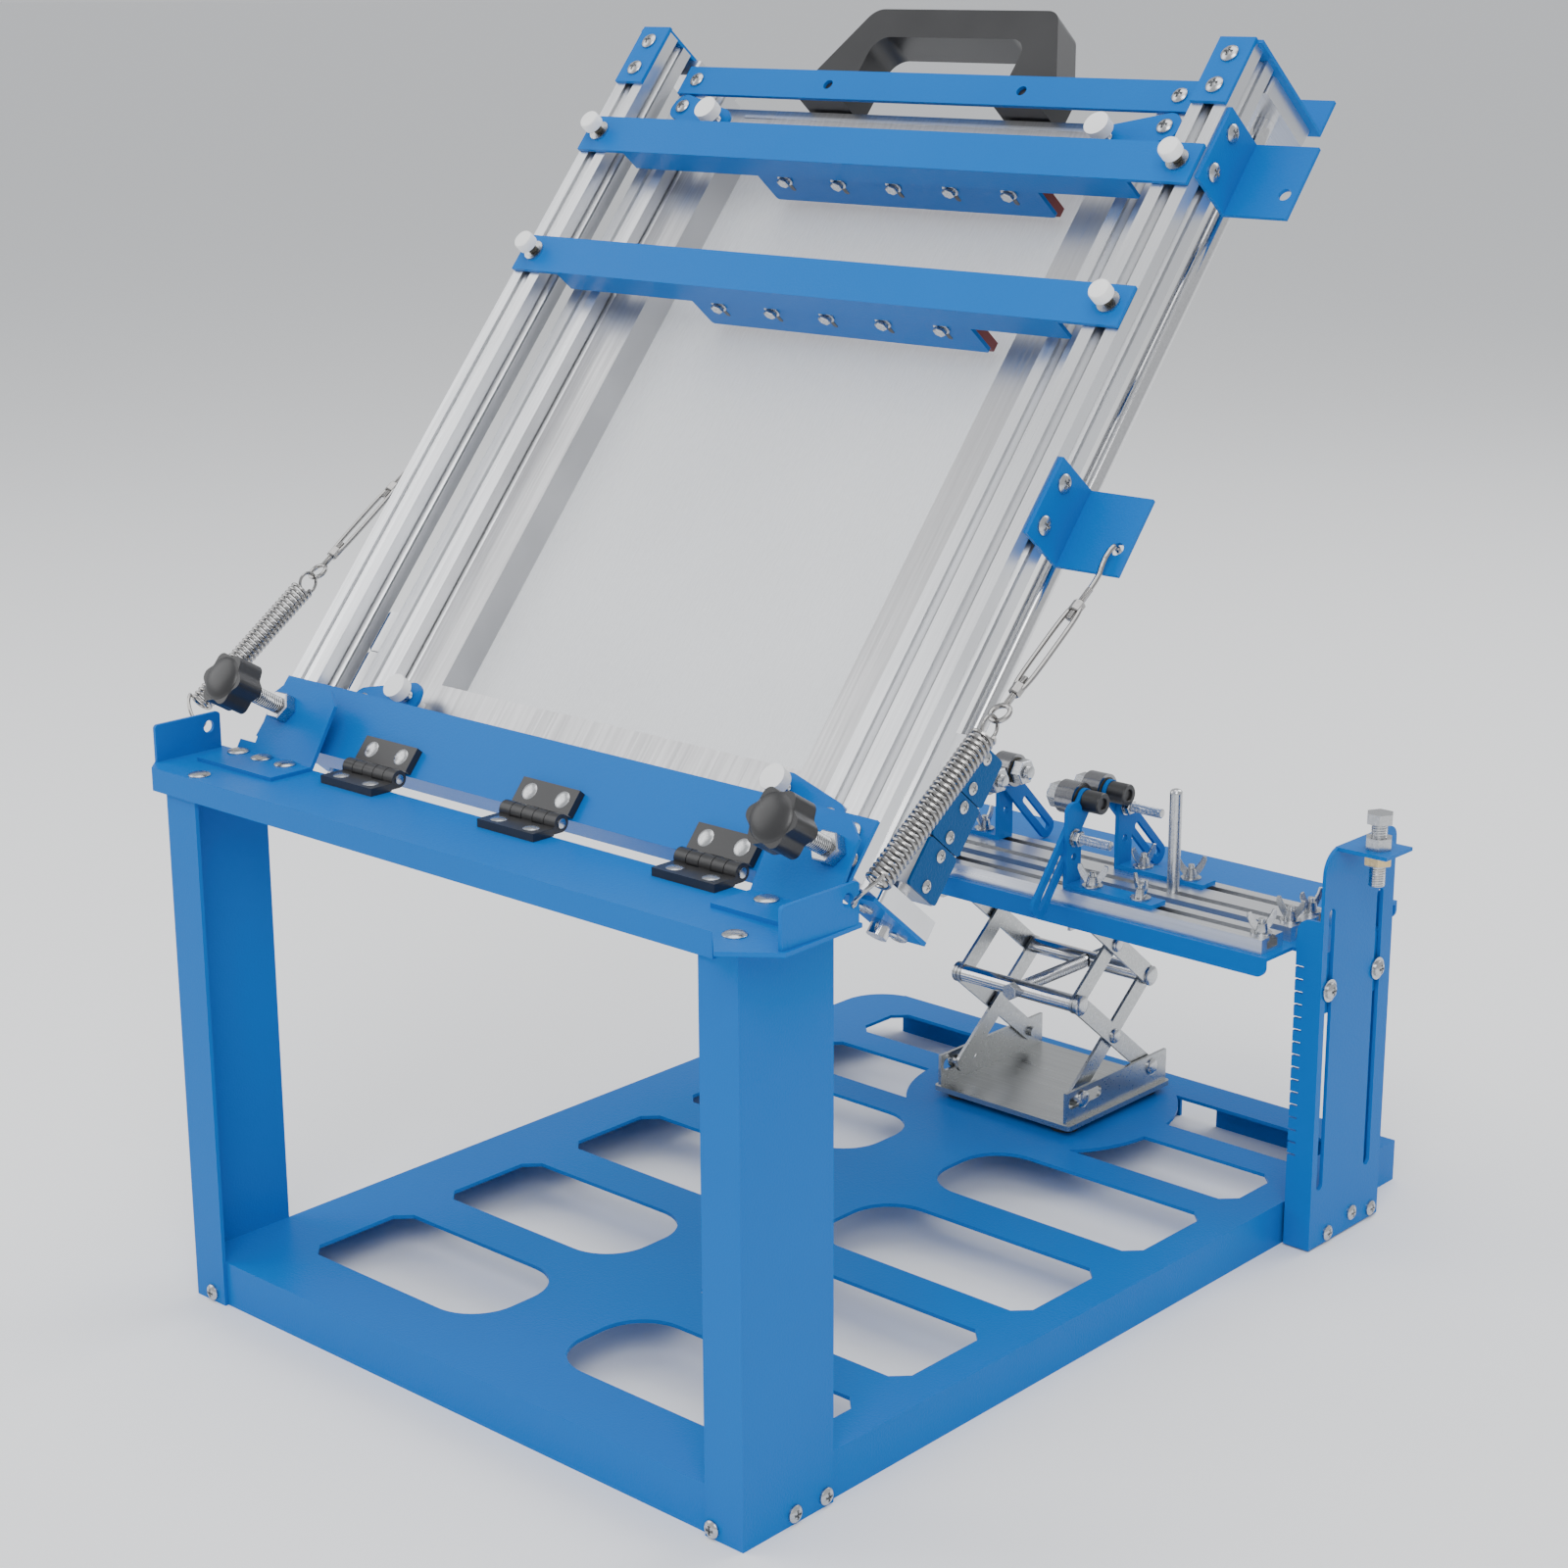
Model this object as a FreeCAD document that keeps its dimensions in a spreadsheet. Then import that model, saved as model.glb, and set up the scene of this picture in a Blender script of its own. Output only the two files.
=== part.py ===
import FreeCAD, Part
import math
import os
import Sketcher

Vector = FreeCAD.Vector

# Document and the sheet of driving sizes, all in millimetres and degrees
doc = FreeCAD.newDocument("cylindrical_screen_press")
sheet = doc.addObject("Spreadsheet::Sheet", "Sizes")


class Size:
    """A length or angle that knows its number and the sheet formula behind it."""

    def __init__(self, value, text):
        self.value = float(value)
        self.text = text

    @staticmethod
    def of(item):
        """Wrap a plain number so that it can stand beside sheet sizes."""
        return item if isinstance(item, Size) else Size(item, repr(float(item)))

    def __add__(self, other):
        other = Size.of(other)
        return Size(self.value + other.value, f"({self.text} + {other.text})")

    def __sub__(self, other):
        other = Size.of(other)
        return Size(self.value - other.value, f"({self.text} - {other.text})")

    def __mul__(self, other):
        other = Size.of(other)
        return Size(self.value * other.value, f"({self.text} * {other.text})")

    def __truediv__(self, other):
        other = Size.of(other)
        return Size(self.value / other.value, f"({self.text} / {other.text})")

    def __neg__(self):
        return Size(-self.value, f"(-1 * {self.text})")

    def __radd__(self, other):
        return Size.of(other) + self

    def __rsub__(self, other):
        return Size.of(other) - self

    def __rmul__(self, other):
        return Size.of(other) * self


def sine(angle):
    """Sine of an angle in degrees."""
    return Size(math.sin(math.radians(angle.value)), f"sin({angle.text} * 1 deg)")


def cosine(angle):
    """Cosine of an angle in degrees."""
    return Size(math.cos(math.radians(angle.value)), f"cos({angle.text} * 1 deg)")


sheet_rows = []


def driving(alias, value, note):
    """Write one driving size into the sheet and return it."""
    row = len(sheet_rows) + 1
    sheet_rows.append(alias)
    sheet.set(f"A{row}", note)
    sheet.set(f"B{row}", repr(float(value)))
    sheet.setAlias(f"B{row}", alias)
    return Size(value, f"Sizes.{alias}")


# Base tray and its cut-outs
sheet_steel = driving("sheet_steel", 2, "thickness of the painted sheet steel")
base_width = driving("base_width", 387, "base tray across, between the legs' webs")
base_front = driving("base_front", 2, "front face of the base tray")
base_rear = driving("base_rear", 546, "rear face of the base tray")
base_height = driving("base_height", 24, "height of the base tray")
slot_first = driving("slot_first", 40, "front edge of the first row of cut-outs")
slot_pitch = driving("slot_pitch", 94, "spacing of the rows of cut-outs")
slot_depth = driving("slot_depth", 66, "cut-out size from front to back")
slot_chamfer = driving("slot_chamfer", 8, "corner chamfer at the outer end of a cut-out")
slot_round = driving("slot_round", 26, "corner radius at the inner end of a cut-out")
left_slot_outer = driving("left_slot_outer", -153, "outer end of the left cut-outs")
left_slot_inner = driving("left_slot_inner", -24, "inner end of the left cut-outs")
right_slot_inner = driving("right_slot_inner", 27, "inner end of the right cut-outs")
right_slot_outer = driving("right_slot_outer", 173, "outer end of the right cut-outs")
rear_slot_start = driving("rear_slot_start", 411, "front edge of the fifth row")
rear_slot_depth = driving("rear_slot_depth", 45, "depth of the fifth row")
last_slot_start = driving("last_slot_start", 479, "front edge of the last row")
last_slot_depth = driving("last_slot_depth", 41, "depth of the last row")
pad_radius = driving("pad_radius", 80, "radius of the solid pad below the lifting jack")
pad_y = driving("pad_y", 464, "middle of the solid pad from the front")
rear_slot_round = driving("rear_slot_round", 18, "inner corner radius of the rear rows")
base_round = driving("base_round", 30, "rounded rear left corner of the base tray")
rear_flange_length = driving("rear_flange_length", 96, "length of a piece of the rear flange")
rear_flange_pitch = driving("rear_flange_pitch", 122, "spacing of the rear flange's pieces")
ear_width = driving("ear_width", 16, "reach of the base's ear beside the post")

# Legs and table
leg_half_span = driving("leg_half_span", 195.5, "centre plane to the outer face of a leg")
leg_flange = driving("leg_flange", 23, "front flange of a leg")
leg_depth = driving("leg_depth", 60, "depth of a leg's web")
leg_cap = driving("leg_cap", 46, "width of the flange on top of a leg")
leg_cap_reach = driving("leg_cap_reach", 45, "reach of the flange on top of a leg")
table_height = driving("table_height", 285, "top face of the table")
table_left = driving("table_left", -212, "left end of the table")
table_right = driving("table_right", 222, "right end of the table")
table_rear = driving("table_rear", 48, "rear edge of the table")
table_skirt = driving("table_skirt", 12, "height of the table's front flange")
skirt_end_gap = driving("skirt_end_gap", 8, "left end of the front flange from the table's end")
skirt_right = driving("skirt_right", 183, "right end of the front flange")
corner_reach = driving("corner_reach", 18, "reach of the unbent right front corner")
tab_height = driving("tab_height", 19, "height of the upturned table ends")
tab_rear = driving("tab_rear", 46, "rear edge of the upturned table ends")
tab_hole = driving("tab_hole", 3.2, "radius of the spring holes")
tab_hole_y = driving("tab_hole_y", 40, "spring hole from front to back")
tab_hole_rise = driving("tab_hole_rise", 13, "spring hole above the table")

# Tilting frame: pin line, tilt and the two aluminium profile pairs
pin_y = driving("pin_y", 54, "hinge pin line from the front")
pin_rise = driving("pin_rise", 5, "hinge pin above the table")
frame_tilt = driving("frame_tilt", 50, "tilt of the frame from level, in degrees")
frame_half = driving("frame_half", 200, "centre plane to the outer face of the frame")
profile = driving("profile", 20, "side of the square aluminium profile")
slot_mouth = driving("slot_mouth", 6, "mouth of the profile's slot")
slot_room = driving("slot_room", 11, "width of the slot behind its lips")
slot_lip = driving("slot_lip", 1.8, "thickness of the slot's lips")
slot_deep = driving("slot_deep", 5.6, "depth of the profile's slot")
profile_bore = driving("profile_bore", 2.5, "radius of the bore along a profile")
frame_start = driving("frame_start", 13, "lower end of the outer profiles, from the pin")
frame_end = driving("frame_end", 455, "upper end of the outer profiles, from the pin")
end_plate_reach = driving("end_plate_reach", 70, "height of the upper end plates")
low_plate_low = driving("low_plate_low", 73, "lower edge of the lower end plates below the pin plane")
low_plate_foot = driving("low_plate_foot", 20, "foot of a lower end plate along the profile")
end_plate_width = driving("end_plate_width", 22, "width of the end plates")
end_plate_inner = driving("end_plate_inner", 181, "inner edge of the end plates from the centre plane")
end_flange = driving("end_flange", 18, "bent flange of the right upper end plate")
cap_length = driving("cap_length", 37, "length of the caps on the upper corners")
rod_x = driving("rod_x", 187, "centre plane to a guide rod")
rod_drop = driving("rod_drop", 54, "guide rod below the pin plane")
rod_radius = driving("rod_radius", 5, "radius of the guide rods")
rod_stub = driving("rod_stub", 7, "rod showing below the lower end plate")
support_length = driving("support_length", 10, "length of a rod support along the rod")
support_width = driving("support_width", 24, "width of a rod support")
support_height = driving("support_height", 43, "height of a rod support")
support_top = driving("support_top", 31, "top of a rod support below the pin plane")
bottom_plate_top = driving("bottom_plate_top", 40, "upper edge of the bottom plate")
bottom_plate_low = driving("bottom_plate_low", 4, "lower edge of the bottom plate")
bottom_flange = driving("bottom_flange", 20, "depth of the bottom plate's lower flange")
bottom_flange_half = driving("bottom_flange_half", 175, "half length of that flange")
spring_tab_low = driving("spring_tab_low", 188, "lower edge of the lower spring tabs")
spring_tab_high = driving("spring_tab_high", 380, "lower edge of the upper spring tabs")
spring_tab_length = driving("spring_tab_length", 40, "length of a spring tab")
spring_tab_leaf = driving("spring_tab_leaf", 30, "height of a spring tab's side leaf")
spring_tab_top = driving("spring_tab_top", 9, "top of a spring tab below the pin plane")
spring_hole_u = driving("spring_hole_u", 13, "hook hole from the lower edge of a spring tab")
spring_tab_reach = driving("spring_tab_reach", 34, "reach of a spring tab's flange")
spring_tab_hole = driving("spring_tab_hole", 3.2, "radius of the hook hole in a spring tab")

# Hinges, stop brackets and star knobs
hinge_width = driving("hinge_width", 38, "width of a hinge")
hinge_leaf = driving("hinge_leaf", 18, "leaf length from the pin line")
hinge_leaf_thick = driving("hinge_leaf_thick", 4, "thickness of a hinge leaf")
hinge_barrel = driving("hinge_barrel", 4.4, "radius of the hinge barrel")
hinge_pin = driving("hinge_pin", 2, "radius of the hinge pin")
hinge_relief = driving("hinge_relief", 0.6, "leaf clear of the other leaf's knuckles")
hinge_middle = driving("hinge_middle", 15, "middle hinge from the centre plane")
hinge_pitch = driving("hinge_pitch", 114, "spacing of the hinges")
knuckle_gap = driving("knuckle_gap", 0.4, "gap between the knuckles")
bracket_foot_depth = driving("bracket_foot_depth", 27, "depth of a stop bracket's foot")
bracket_width = driving("bracket_width", 59, "width of a stop bracket")
bracket_left = driving("bracket_left", -197, "left end of the left stop bracket")
bracket_right = driving("bracket_right", 219, "right end of the right stop bracket")
ear_tilt = driving("ear_tilt", 59, "tilt of the stop brackets' ears from level, in degrees")
ear_top = driving("ear_top", 41, "length of an ear from its bend")
ear_round = driving("ear_round", 7, "corner chamfer of the ears")
ear_neck = driving("ear_neck", 12, "ear set in from the outer end of its foot")
ear_root = driving("ear_root", 6, "height of an ear's wide root")
stop_left = driving("stop_left", -172, "left stop spindle from the centre plane")
stop_right = driving("stop_right", 196, "right stop spindle from the centre plane")
stop_rise = driving("stop_rise", 26.5, "stop spindles along an ear from its bend")
spindle_radius = driving("spindle_radius", 4, "radius of the stop spindles")
spindle_fit = driving("spindle_fit", 0.1, "clearance of a spindle in its collar")
spindle_tip_gap = driving("spindle_tip_gap", 0.3, "gap between a spindle and the bottom plate")
stop_nut = driving("stop_nut", 13, "width across flats of the nut welded to an ear")
stop_nut_thick = driving("stop_nut_thick", 7, "thickness of the nut welded to an ear")
knob_low = driving("knob_low", 32, "back of a star knob in front of an ear's rear face")
knob_thick = driving("knob_thick", 15, "thickness of a star knob")
knob_radius = driving("knob_radius", 14.5, "radius of a star knob at its lobes")
knob_waist = driving("knob_waist", 11.2, "radius of a star knob between its lobes")

# Sliding carriage with the screen
inner_x = driving("inner_x", 159, "centre plane to an inner profile")
inner_drop = driving("inner_drop", 24, "top of the inner profiles below the pin plane")
inner_start = driving("inner_start", 18, "lower end of the inner profiles")
inner_end = driving("inner_end", 441, "upper end of the inner profiles")
bearing_start = driving("bearing_start", 28, "lower end of the bearing blocks")
bearing_length = driving("bearing_length", 24.2, "length of one bearing block")
bearing_half = driving("bearing_half", 11, "half width of a bearing block")
bearing_plate = driving("bearing_plate", 1.4, "thickness of the blue side plates")
bearing_foot_low = driving("bearing_foot_low", 58, "underside of a bearing block's foot")
bearing_gap = driving("bearing_gap", 0.6, "gap between the bearing blocks")
bearing_top = driving("bearing_top", 43, "top of the bearing blocks below the pin plane")
bearing_low = driving("bearing_low", 67, "underside of the bearing blocks")
bearing_fit = driving("bearing_fit", 0.05, "clearance of the rod in a bearing")
screen_half = driving("screen_half", 147, "centre plane to the screen's outer edge")
screen_bar = driving("screen_bar", 24, "width of a screen bar")
screen_low_bar = driving("screen_low_bar", 34, "width of the screen's lower member")
screen_high_bar = driving("screen_high_bar", 25, "width of the screen's upper member")
screen_top = driving("screen_top", 33, "top of the screen below the pin plane")
screen_depth = driving("screen_depth", 17, "depth of the screen bars")
screen_low_end = driving("screen_low_end", 30, "lower end of the screen")
screen_high_end = driving("screen_high_end", 425, "upper end of the screen")
mesh_thick = driving("mesh_thick", 0.6, "thickness of the stretched mesh")
strip_start = driving("strip_start", 426, "lower edge of the top strip")
strip_width = driving("strip_width", 18, "width of the top strip")
strip_hole = driving("strip_hole", 2.8, "radius of the holes in the top strip")
strip_hole_x = driving("strip_hole_x", 64, "holes in the top strip from the middle")
strip_half = driving("strip_half", 169, "half length of the top strip")
handle_foot = driving("handle_foot", 80, "half length of the handle at its feet")
handle_top = driving("handle_top", 60, "half length of the handle at its grip")
handle_rise = driving("handle_rise", 42, "reach of the handle")
handle_bar = driving("handle_bar", 18, "thickness of the handle's bars")
handle_depth = driving("handle_depth", 20, "depth of the handle")
handle_open = driving("handle_open", 50, "half length of the handle's opening")
handle_round = driving("handle_round", 10, "corner radius of the handle")
clamp_low = driving("clamp_low", 42, "lower clamp pivots from the pin")
clamp_high = driving("clamp_high", 417, "upper clamp pivots from the pin")
clamp_thick = driving("clamp_thick", 2, "thickness of a clamp lever")
clamp_half = driving("clamp_half", 8, "half width of a clamp lever")
clamp_reach = driving("clamp_reach", 30, "clamp lever across, from its pivot to its screw")
clamp_step = driving("clamp_step", 8, "clamp lever along, from its pivot to its screw")
clamp_screw = driving("clamp_screw", 2.5, "radius of a clamp screw")
cap_radius = driving("cap_radius", 6.5, "radius of a white screw cap")
cap_thick = driving("cap_thick", 6, "thickness of a white screw cap")
cap_rise = driving("cap_rise", 6, "underside of a white cap above its lever")

# Squeegee bars
bar_low = driving("bar_low", 295, "lower edge of the lower squeegee bar")
bar_high = driving("bar_high", 374, "lower edge of the upper squeegee bar")
bar_width = driving("bar_width", 22, "width of a squeegee bar")
bar_flange_half = driving("bar_flange_half", 166, "half length of the bar's flange")
bar_flange = driving("bar_flange", 15, "height of the bar's flange")
slide_gap = driving("slide_gap", 0.3, "running gap of what slides on a profile")
holder_middle = driving("holder_middle", 12, "middle of a blade holder")
holder_half = driving("holder_half", 92, "half length of a blade holder")
holder_reach = driving("holder_reach", 33, "height of a blade holder")
holder_drop = driving("holder_drop", 10, "top of a blade holder below the pin plane")
blade_thick = driving("blade_thick", 5, "thickness of the rubber blade")
blade_reach = driving("blade_reach", 26, "height of the rubber blade")

# Post, adjusting bolt and work-holder tray
post_web_x = driving("post_web_x", 211.5, "outer face of the post's web")
post_front = driving("post_front", 429, "front face of the post")
post_rear = driving("post_rear", 498.5, "rear face of the post")
post_height = driving("post_height", 226, "height of the post's web")
post_flange_height = driving("post_flange_height", 187, "height of the post's flanges")
post_flange = driving("post_flange", 16, "width of the post's flanges")
post_foot = driving("post_foot", 1, "lower end of the post")
notch_first = driving("notch_first", 53, "lowest notch in the post's front flange")
notch_pitch = driving("notch_pitch", 7.1, "spacing of the notches")
notch_height = driving("notch_height", 1.2, "height of a notch")
notch_depth = driving("notch_depth", 5, "depth of a notch")
notch_count = 16
post_round = driving("post_round", 14, "radius at the web's front upper corner")
post_slot_front = driving("post_slot_front", 437, "front slot of the post")
post_slot_rear = driving("post_slot_rear", 484.5, "rear slot of the post")
post_slot_low = driving("post_slot_low", 34, "lower end of the post's slots")
post_slot_high = driving("post_slot_high", 193, "upper end of the post's slots")
post_slot_half = driving("post_slot_half", 3, "half width of the post's slots")
shelf_reach = driving("shelf_reach", 28.5, "reach of the bent shelf on the post")
shelf_front = driving("shelf_front", 440, "front edge of the post's shelf")
shelf_depth = driving("shelf_depth", 26, "depth of the post's shelf")
bolt_x = driving("bolt_x", 228, "adjusting bolt from the centre plane")
bolt_y = driving("bolt_y", 452, "adjusting bolt from the front")
bolt_radius = driving("bolt_radius", 4, "radius of the adjusting bolt")
bolt_fit = driving("bolt_fit", 0.3, "clearance of the bolt in the shelf")
bolt_top = driving("bolt_top", 245.5, "top of the adjusting bolt's head")
bolt_head = driving("bolt_head", 5.5, "height of the adjusting bolt's head")
bolt_low = driving("bolt_low", 206, "lower tip of the adjusting bolt")
hex_flat = driving("hex_flat", 13, "width across flats of the bolt head and nuts")
nut_thick = driving("nut_thick", 6.5, "thickness of the bolt's nuts")
tray_top = driving("tray_top", 168, "top face of the work-holder tray")
tray_left = driving("tray_left", -120, "left end of the tray")
tray_right = driving("tray_right", 190, "right end of the tray in front of the post")
tray_front = driving("tray_front", 408, "front edge of the tray")
tray_rear = driving("tray_rear", 540, "rear edge of the tray")
tray_lip = driving("tray_lip", 11, "height of the tray's down-turned edges")
tongue_clear = driving("tongue_clear", 3, "tray tongue clear of the post's flanges")
tongue_drop = driving("tongue_drop", 34, "height of the tongue's bolted flange")
rail_height = driving("rail_height", 8, "height of the slotted rails")
rail_lip = driving("rail_lip", 1.6, "lip of the slotted rails")
rail_mouth = driving("rail_mouth", 6, "mouth of the rails' slots")
rail_room = driving("rail_room", 10, "slot width below the rails' lips")
rail_floor = driving("rail_floor", 1.6, "floor of the slotted rails")
front_rail_y = driving("front_rail_y", 422, "middle of the front rail")
front_rail_width = driving("front_rail_width", 20, "width of the front rail")
rear_rail_y = driving("rear_rail_y", 460, "middle of the rear rail")
rear_rail_width = driving("rear_rail_width", 40, "width of the double rear rail")
rear_slot_step = driving("rear_slot_step", 10, "rear rail's slots from its middle")
rail_right = driving("rail_right", 185, "right end of the rails")
upright_width = driving("upright_width", 13, "width of a roller bracket and its strap")
upright_height = driving("upright_height", 48, "height of a roller bracket")
upright_foot = driving("upright_foot", 60, "length of a roller bracket's foot")
upright_thick = driving("upright_thick", 2.5, "thickness of a roller bracket and its strap")
roller_radius = driving("roller_radius", 9.5, "radius of the bearing rollers")
roller_width = driving("roller_width", 12, "width of the bearing rollers")
roller_rise = driving("roller_rise", 46, "roller axis above the rails")
roller_bolt = driving("roller_bolt", 4, "radius of a roller's screw")
roller_fit = driving("roller_fit", 0.05, "clearance of a roller on its screw")
roller_gap = driving("roller_gap", 1, "gap between a roller and its strap")
roller_cap = driving("roller_cap", 6, "radius of the cap of a roller's screw")
roller_cap_length = driving("roller_cap_length", 10, "length of the cap of a roller's screw")
roller_nut = driving("roller_nut", 13, "width across flats of the nut on a roller's screw")
roller_nut_thick = driving("roller_nut_thick", 6, "thickness of the nut on a roller's screw")
left_bracket_x = driving("left_bracket_x", 31, "left roller brackets to the left of the middle")
right_bracket_x = driving("right_bracket_x", 52, "right roller brackets to the right of the middle")
front_roller_y = driving("front_roller_y", 436, "front roller axis")
rear_roller_y = driving("rear_roller_y", 460, "rear roller axis")
front_clamp_rise = driving("front_clamp_rise", 28, "front straps' clamping bolts above the rails")
rear_clamp_rise = driving("rear_clamp_rise", 36, "rear straps' clamping bolts above the rails")
strap_length = driving("strap_length", 66, "length of a strap between its round ends' centres")
strap_slot = driving("strap_slot", 2.2, "half width of the slot in a strap")
strap_slot_start = driving("strap_slot_start", 36, "slot of a strap from the roller's axis")
upright_hole_rise = driving("upright_hole_rise", 17, "hole in a roller bracket above the rails")
clamp_bolt = driving("clamp_bolt", 2.5, "radius of the straps' clamping bolts")
clamp_bolt_length = driving("clamp_bolt_length", 27, "reach of a clamping bolt past the strap")
stop_rod_x = driving("stop_rod_x", 102, "stop rod from the centre plane")
stop_rod_radius = driving("stop_rod_radius", 3.5, "radius of the stop rod")
stop_rod_height = driving("stop_rod_height", 57, "height of the stop rod above the rail")

# Lifting jack, a two-level scissor
jack_x = driving("jack_x", 4, "middle of the jack from the centre plane")
jack_y = driving("jack_y", 474, "middle of the jack from the front")
jack_side = driving("jack_side", 100, "side of the jack's plates")
jack_foot = driving("jack_foot", 4, "height of the jack's rubber feet")
jack_foot_radius = driving("jack_foot_radius", 8, "radius of the jack's rubber feet")
jack_plate = driving("jack_plate", 3, "thickness of the jack's plates")
jack_angle_height = driving("jack_angle_height", 19, "height of the jack's side angles")
jack_angle_inset = driving("jack_angle_inset", 3, "side angles in from the plate's edge")
jack_angle_thick = driving("jack_angle_thick", 2, "thickness of the jack's angles")
jack_pivot_rise = driving("jack_pivot_rise", 8, "upper pivots below the jack's top plate")
jack_angle_drop = driving("jack_angle_drop", 15, "height of the top plate's angles")
jack_slot_front = driving("jack_slot_front", 431, "front end of the pivots' travel in the slots")
jack_slot_rear = driving("jack_slot_rear", 455, "rear end of the pivots' travel in the slots")
jack_fixed = driving("jack_fixed", 34, "fixed pivots behind the jack's middle")
arm_length = driving("arm_length", 88, "jack arm between its end pivots")
arm_angle = driving("arm_angle", 39.5, "angle of the jack arms from level, in degrees")
arm_half = driving("arm_half", 5.5, "half width of a jack arm")
arm_thick = driving("arm_thick", 2, "thickness of a jack arm")
arm_gap = driving("arm_gap", 0.6, "gap between the jack's arms")
arm_pin = driving("arm_pin", 3, "radius of the jack's pivot pins")
pin_fit = driving("pin_fit", 0.1, "clearance of a pivot pin")
open_fit = driving("open_fit", 0.6, "clearance at the opened pivots of the linkage")
cross_rod = driving("cross_rod", 5, "radius of the jack's cross rods")
jack_spindle = driving("jack_spindle", 3.5, "radius of the jack's screw spindle")
jack_spindle_front = driving("jack_spindle_front", 9, "spindle in front of the front cross rod")
jack_spindle_length = driving("jack_spindle_length", 84, "spindle behind the front cross rod")

# Counterbalance springs
spring_radius = driving("spring_radius", 6.2, "outer radius of a spring")
spring_x = driving("spring_x", 229.5, "springs from the centre plane")
spring_wire = driving("spring_wire", 1.7, "wire thickness of a spring")
spring_start = driving("spring_start", 10, "coil from the table's hole")
spring_length = driving("spring_length", 86, "length of the coil")
link_wire = driving("link_wire", 1.4, "radius of the hook wires")
hook_taper = driving("hook_taper", 0.9, "hook's wire as a share of the rod's")
hook_out = driving("hook_out", 6, "hook wire past the plate that holds it")
hook_bend = driving("hook_bend", 16, "bend of the upper hook before the hole that holds it")
hook_lift = driving("hook_lift", 4, "upper hook's bent length above the spring's line")
buckle_start = driving("buckle_start", 122, "turnbuckle from the table's hole")
buckle_length = driving("buckle_length", 54, "length of the turnbuckle")
buckle_half = driving("buckle_half", 4.5, "half width of the turnbuckle")
buckle_bar = driving("buckle_bar", 2.4, "width of the turnbuckle's bars")
link_tail = driving("link_tail", 10, "turnbuckle's rod inside the coil")


def derived(alias, size, note):
    """Write a size worked out from others into the sheet and return it."""
    row = len(sheet_rows) + 1
    sheet_rows.append(alias)
    sheet.set(f"A{row}", note)
    sheet.set(f"B{row}", "=" + size.text.replace("Sizes.", ""))
    sheet.setAlias(f"B{row}", alias)
    return Size(size.value, f"Sizes.{alias}")


def run_angle(across, up):
    """Angle from level, in degrees, of a line with the given run and rise."""
    value = math.degrees(math.atan2(up.value, across.value))
    return Size(value, f"(atan2({up.text}; {across.text}) / 1 deg)")


def run_length(across, up):
    """Length of a line with the given run and rise."""
    return Size(math.hypot(across.value, up.value), f"hypot({across.text}; {up.text})")


# Sizes worked out from the driving ones
base_half = derived("base_half", base_width / 2, "centre plane to the base's side")
pin_z = derived("pin_z", table_height + pin_rise, "hinge pin above the floor")
tilt_cos = derived("tilt_cos", cosine(frame_tilt), "cosine of the frame's tilt")
tilt_sin = derived("tilt_sin", sine(frame_tilt), "sine of the frame's tilt")
plate_top = derived("plate_top", -pin_rise, "top of the bottom plate from the pin plane")
plate_under = derived("plate_under", plate_top - sheet_steel, "top of the outer profiles")
profile_middle = derived("profile_middle", plate_under - profile / 2, "axis of the outer profiles")
profile_under = derived("profile_under", plate_under - profile, "underside of the outer profiles")
inner_under = derived("inner_under", -inner_drop - profile, "underside of the inner profiles")
screen_under = derived("screen_under", -screen_top - screen_depth, "underside of the screen")
tray_under = derived("tray_under", tray_top - sheet_steel, "underside of the work-holder tray")
rail_top = derived("rail_top", tray_top + rail_height, "top of the slotted rails")
post_inner = derived("post_inner", post_web_x - sheet_steel, "inner face of the post's web")
fixed_y = derived("fixed_y", jack_y + jack_fixed, "fixed pivots of the jack")
sliding_y = derived("sliding_y", fixed_y - arm_length * cosine(arm_angle), "sliding pivots of the jack")
upper_pivot = derived("upper_pivot", tray_under - jack_plate - jack_pivot_rise, "upper pivots of the jack")
knee_z = derived("knee_z", upper_pivot - arm_length * sine(arm_angle), "knees of the jack")
lower_pivot = derived("lower_pivot", knee_z * 2 - upper_pivot, "lower pivots of the jack")
jack_floor = derived("jack_floor", base_height + jack_foot + jack_plate, "top of the jack's base plate")
tab_hole_z = derived("tab_hole_z", table_height + tab_hole_rise, "spring hole above the floor")
hook_u = derived("hook_u", spring_tab_low + spring_hole_u, "hook hole from the pin, along the frame")
hook_w = derived("hook_w", -spring_tab_top - spring_tab_leaf + sheet_steel / 2, "hook hole below the pin plane")
hook_y = derived("hook_y", pin_y + hook_u * tilt_cos - hook_w * tilt_sin, "hook hole from the front")
hook_z = derived("hook_z", pin_z + hook_u * tilt_sin + hook_w * tilt_cos, "hook hole above the floor")
spring_angle = derived("spring_angle", run_angle(hook_y - tab_hole_y, hook_z - tab_hole_z),
                       "angle of the springs from level")
spring_reach = derived("spring_reach", run_length(hook_y - tab_hole_y, hook_z - tab_hole_z),
                       "springs from hole to hole")
doc.recompute()

PLANES = {"x": "YZ_Plane", "y": "XZ_Plane", "z": "XY_Plane"}


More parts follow.
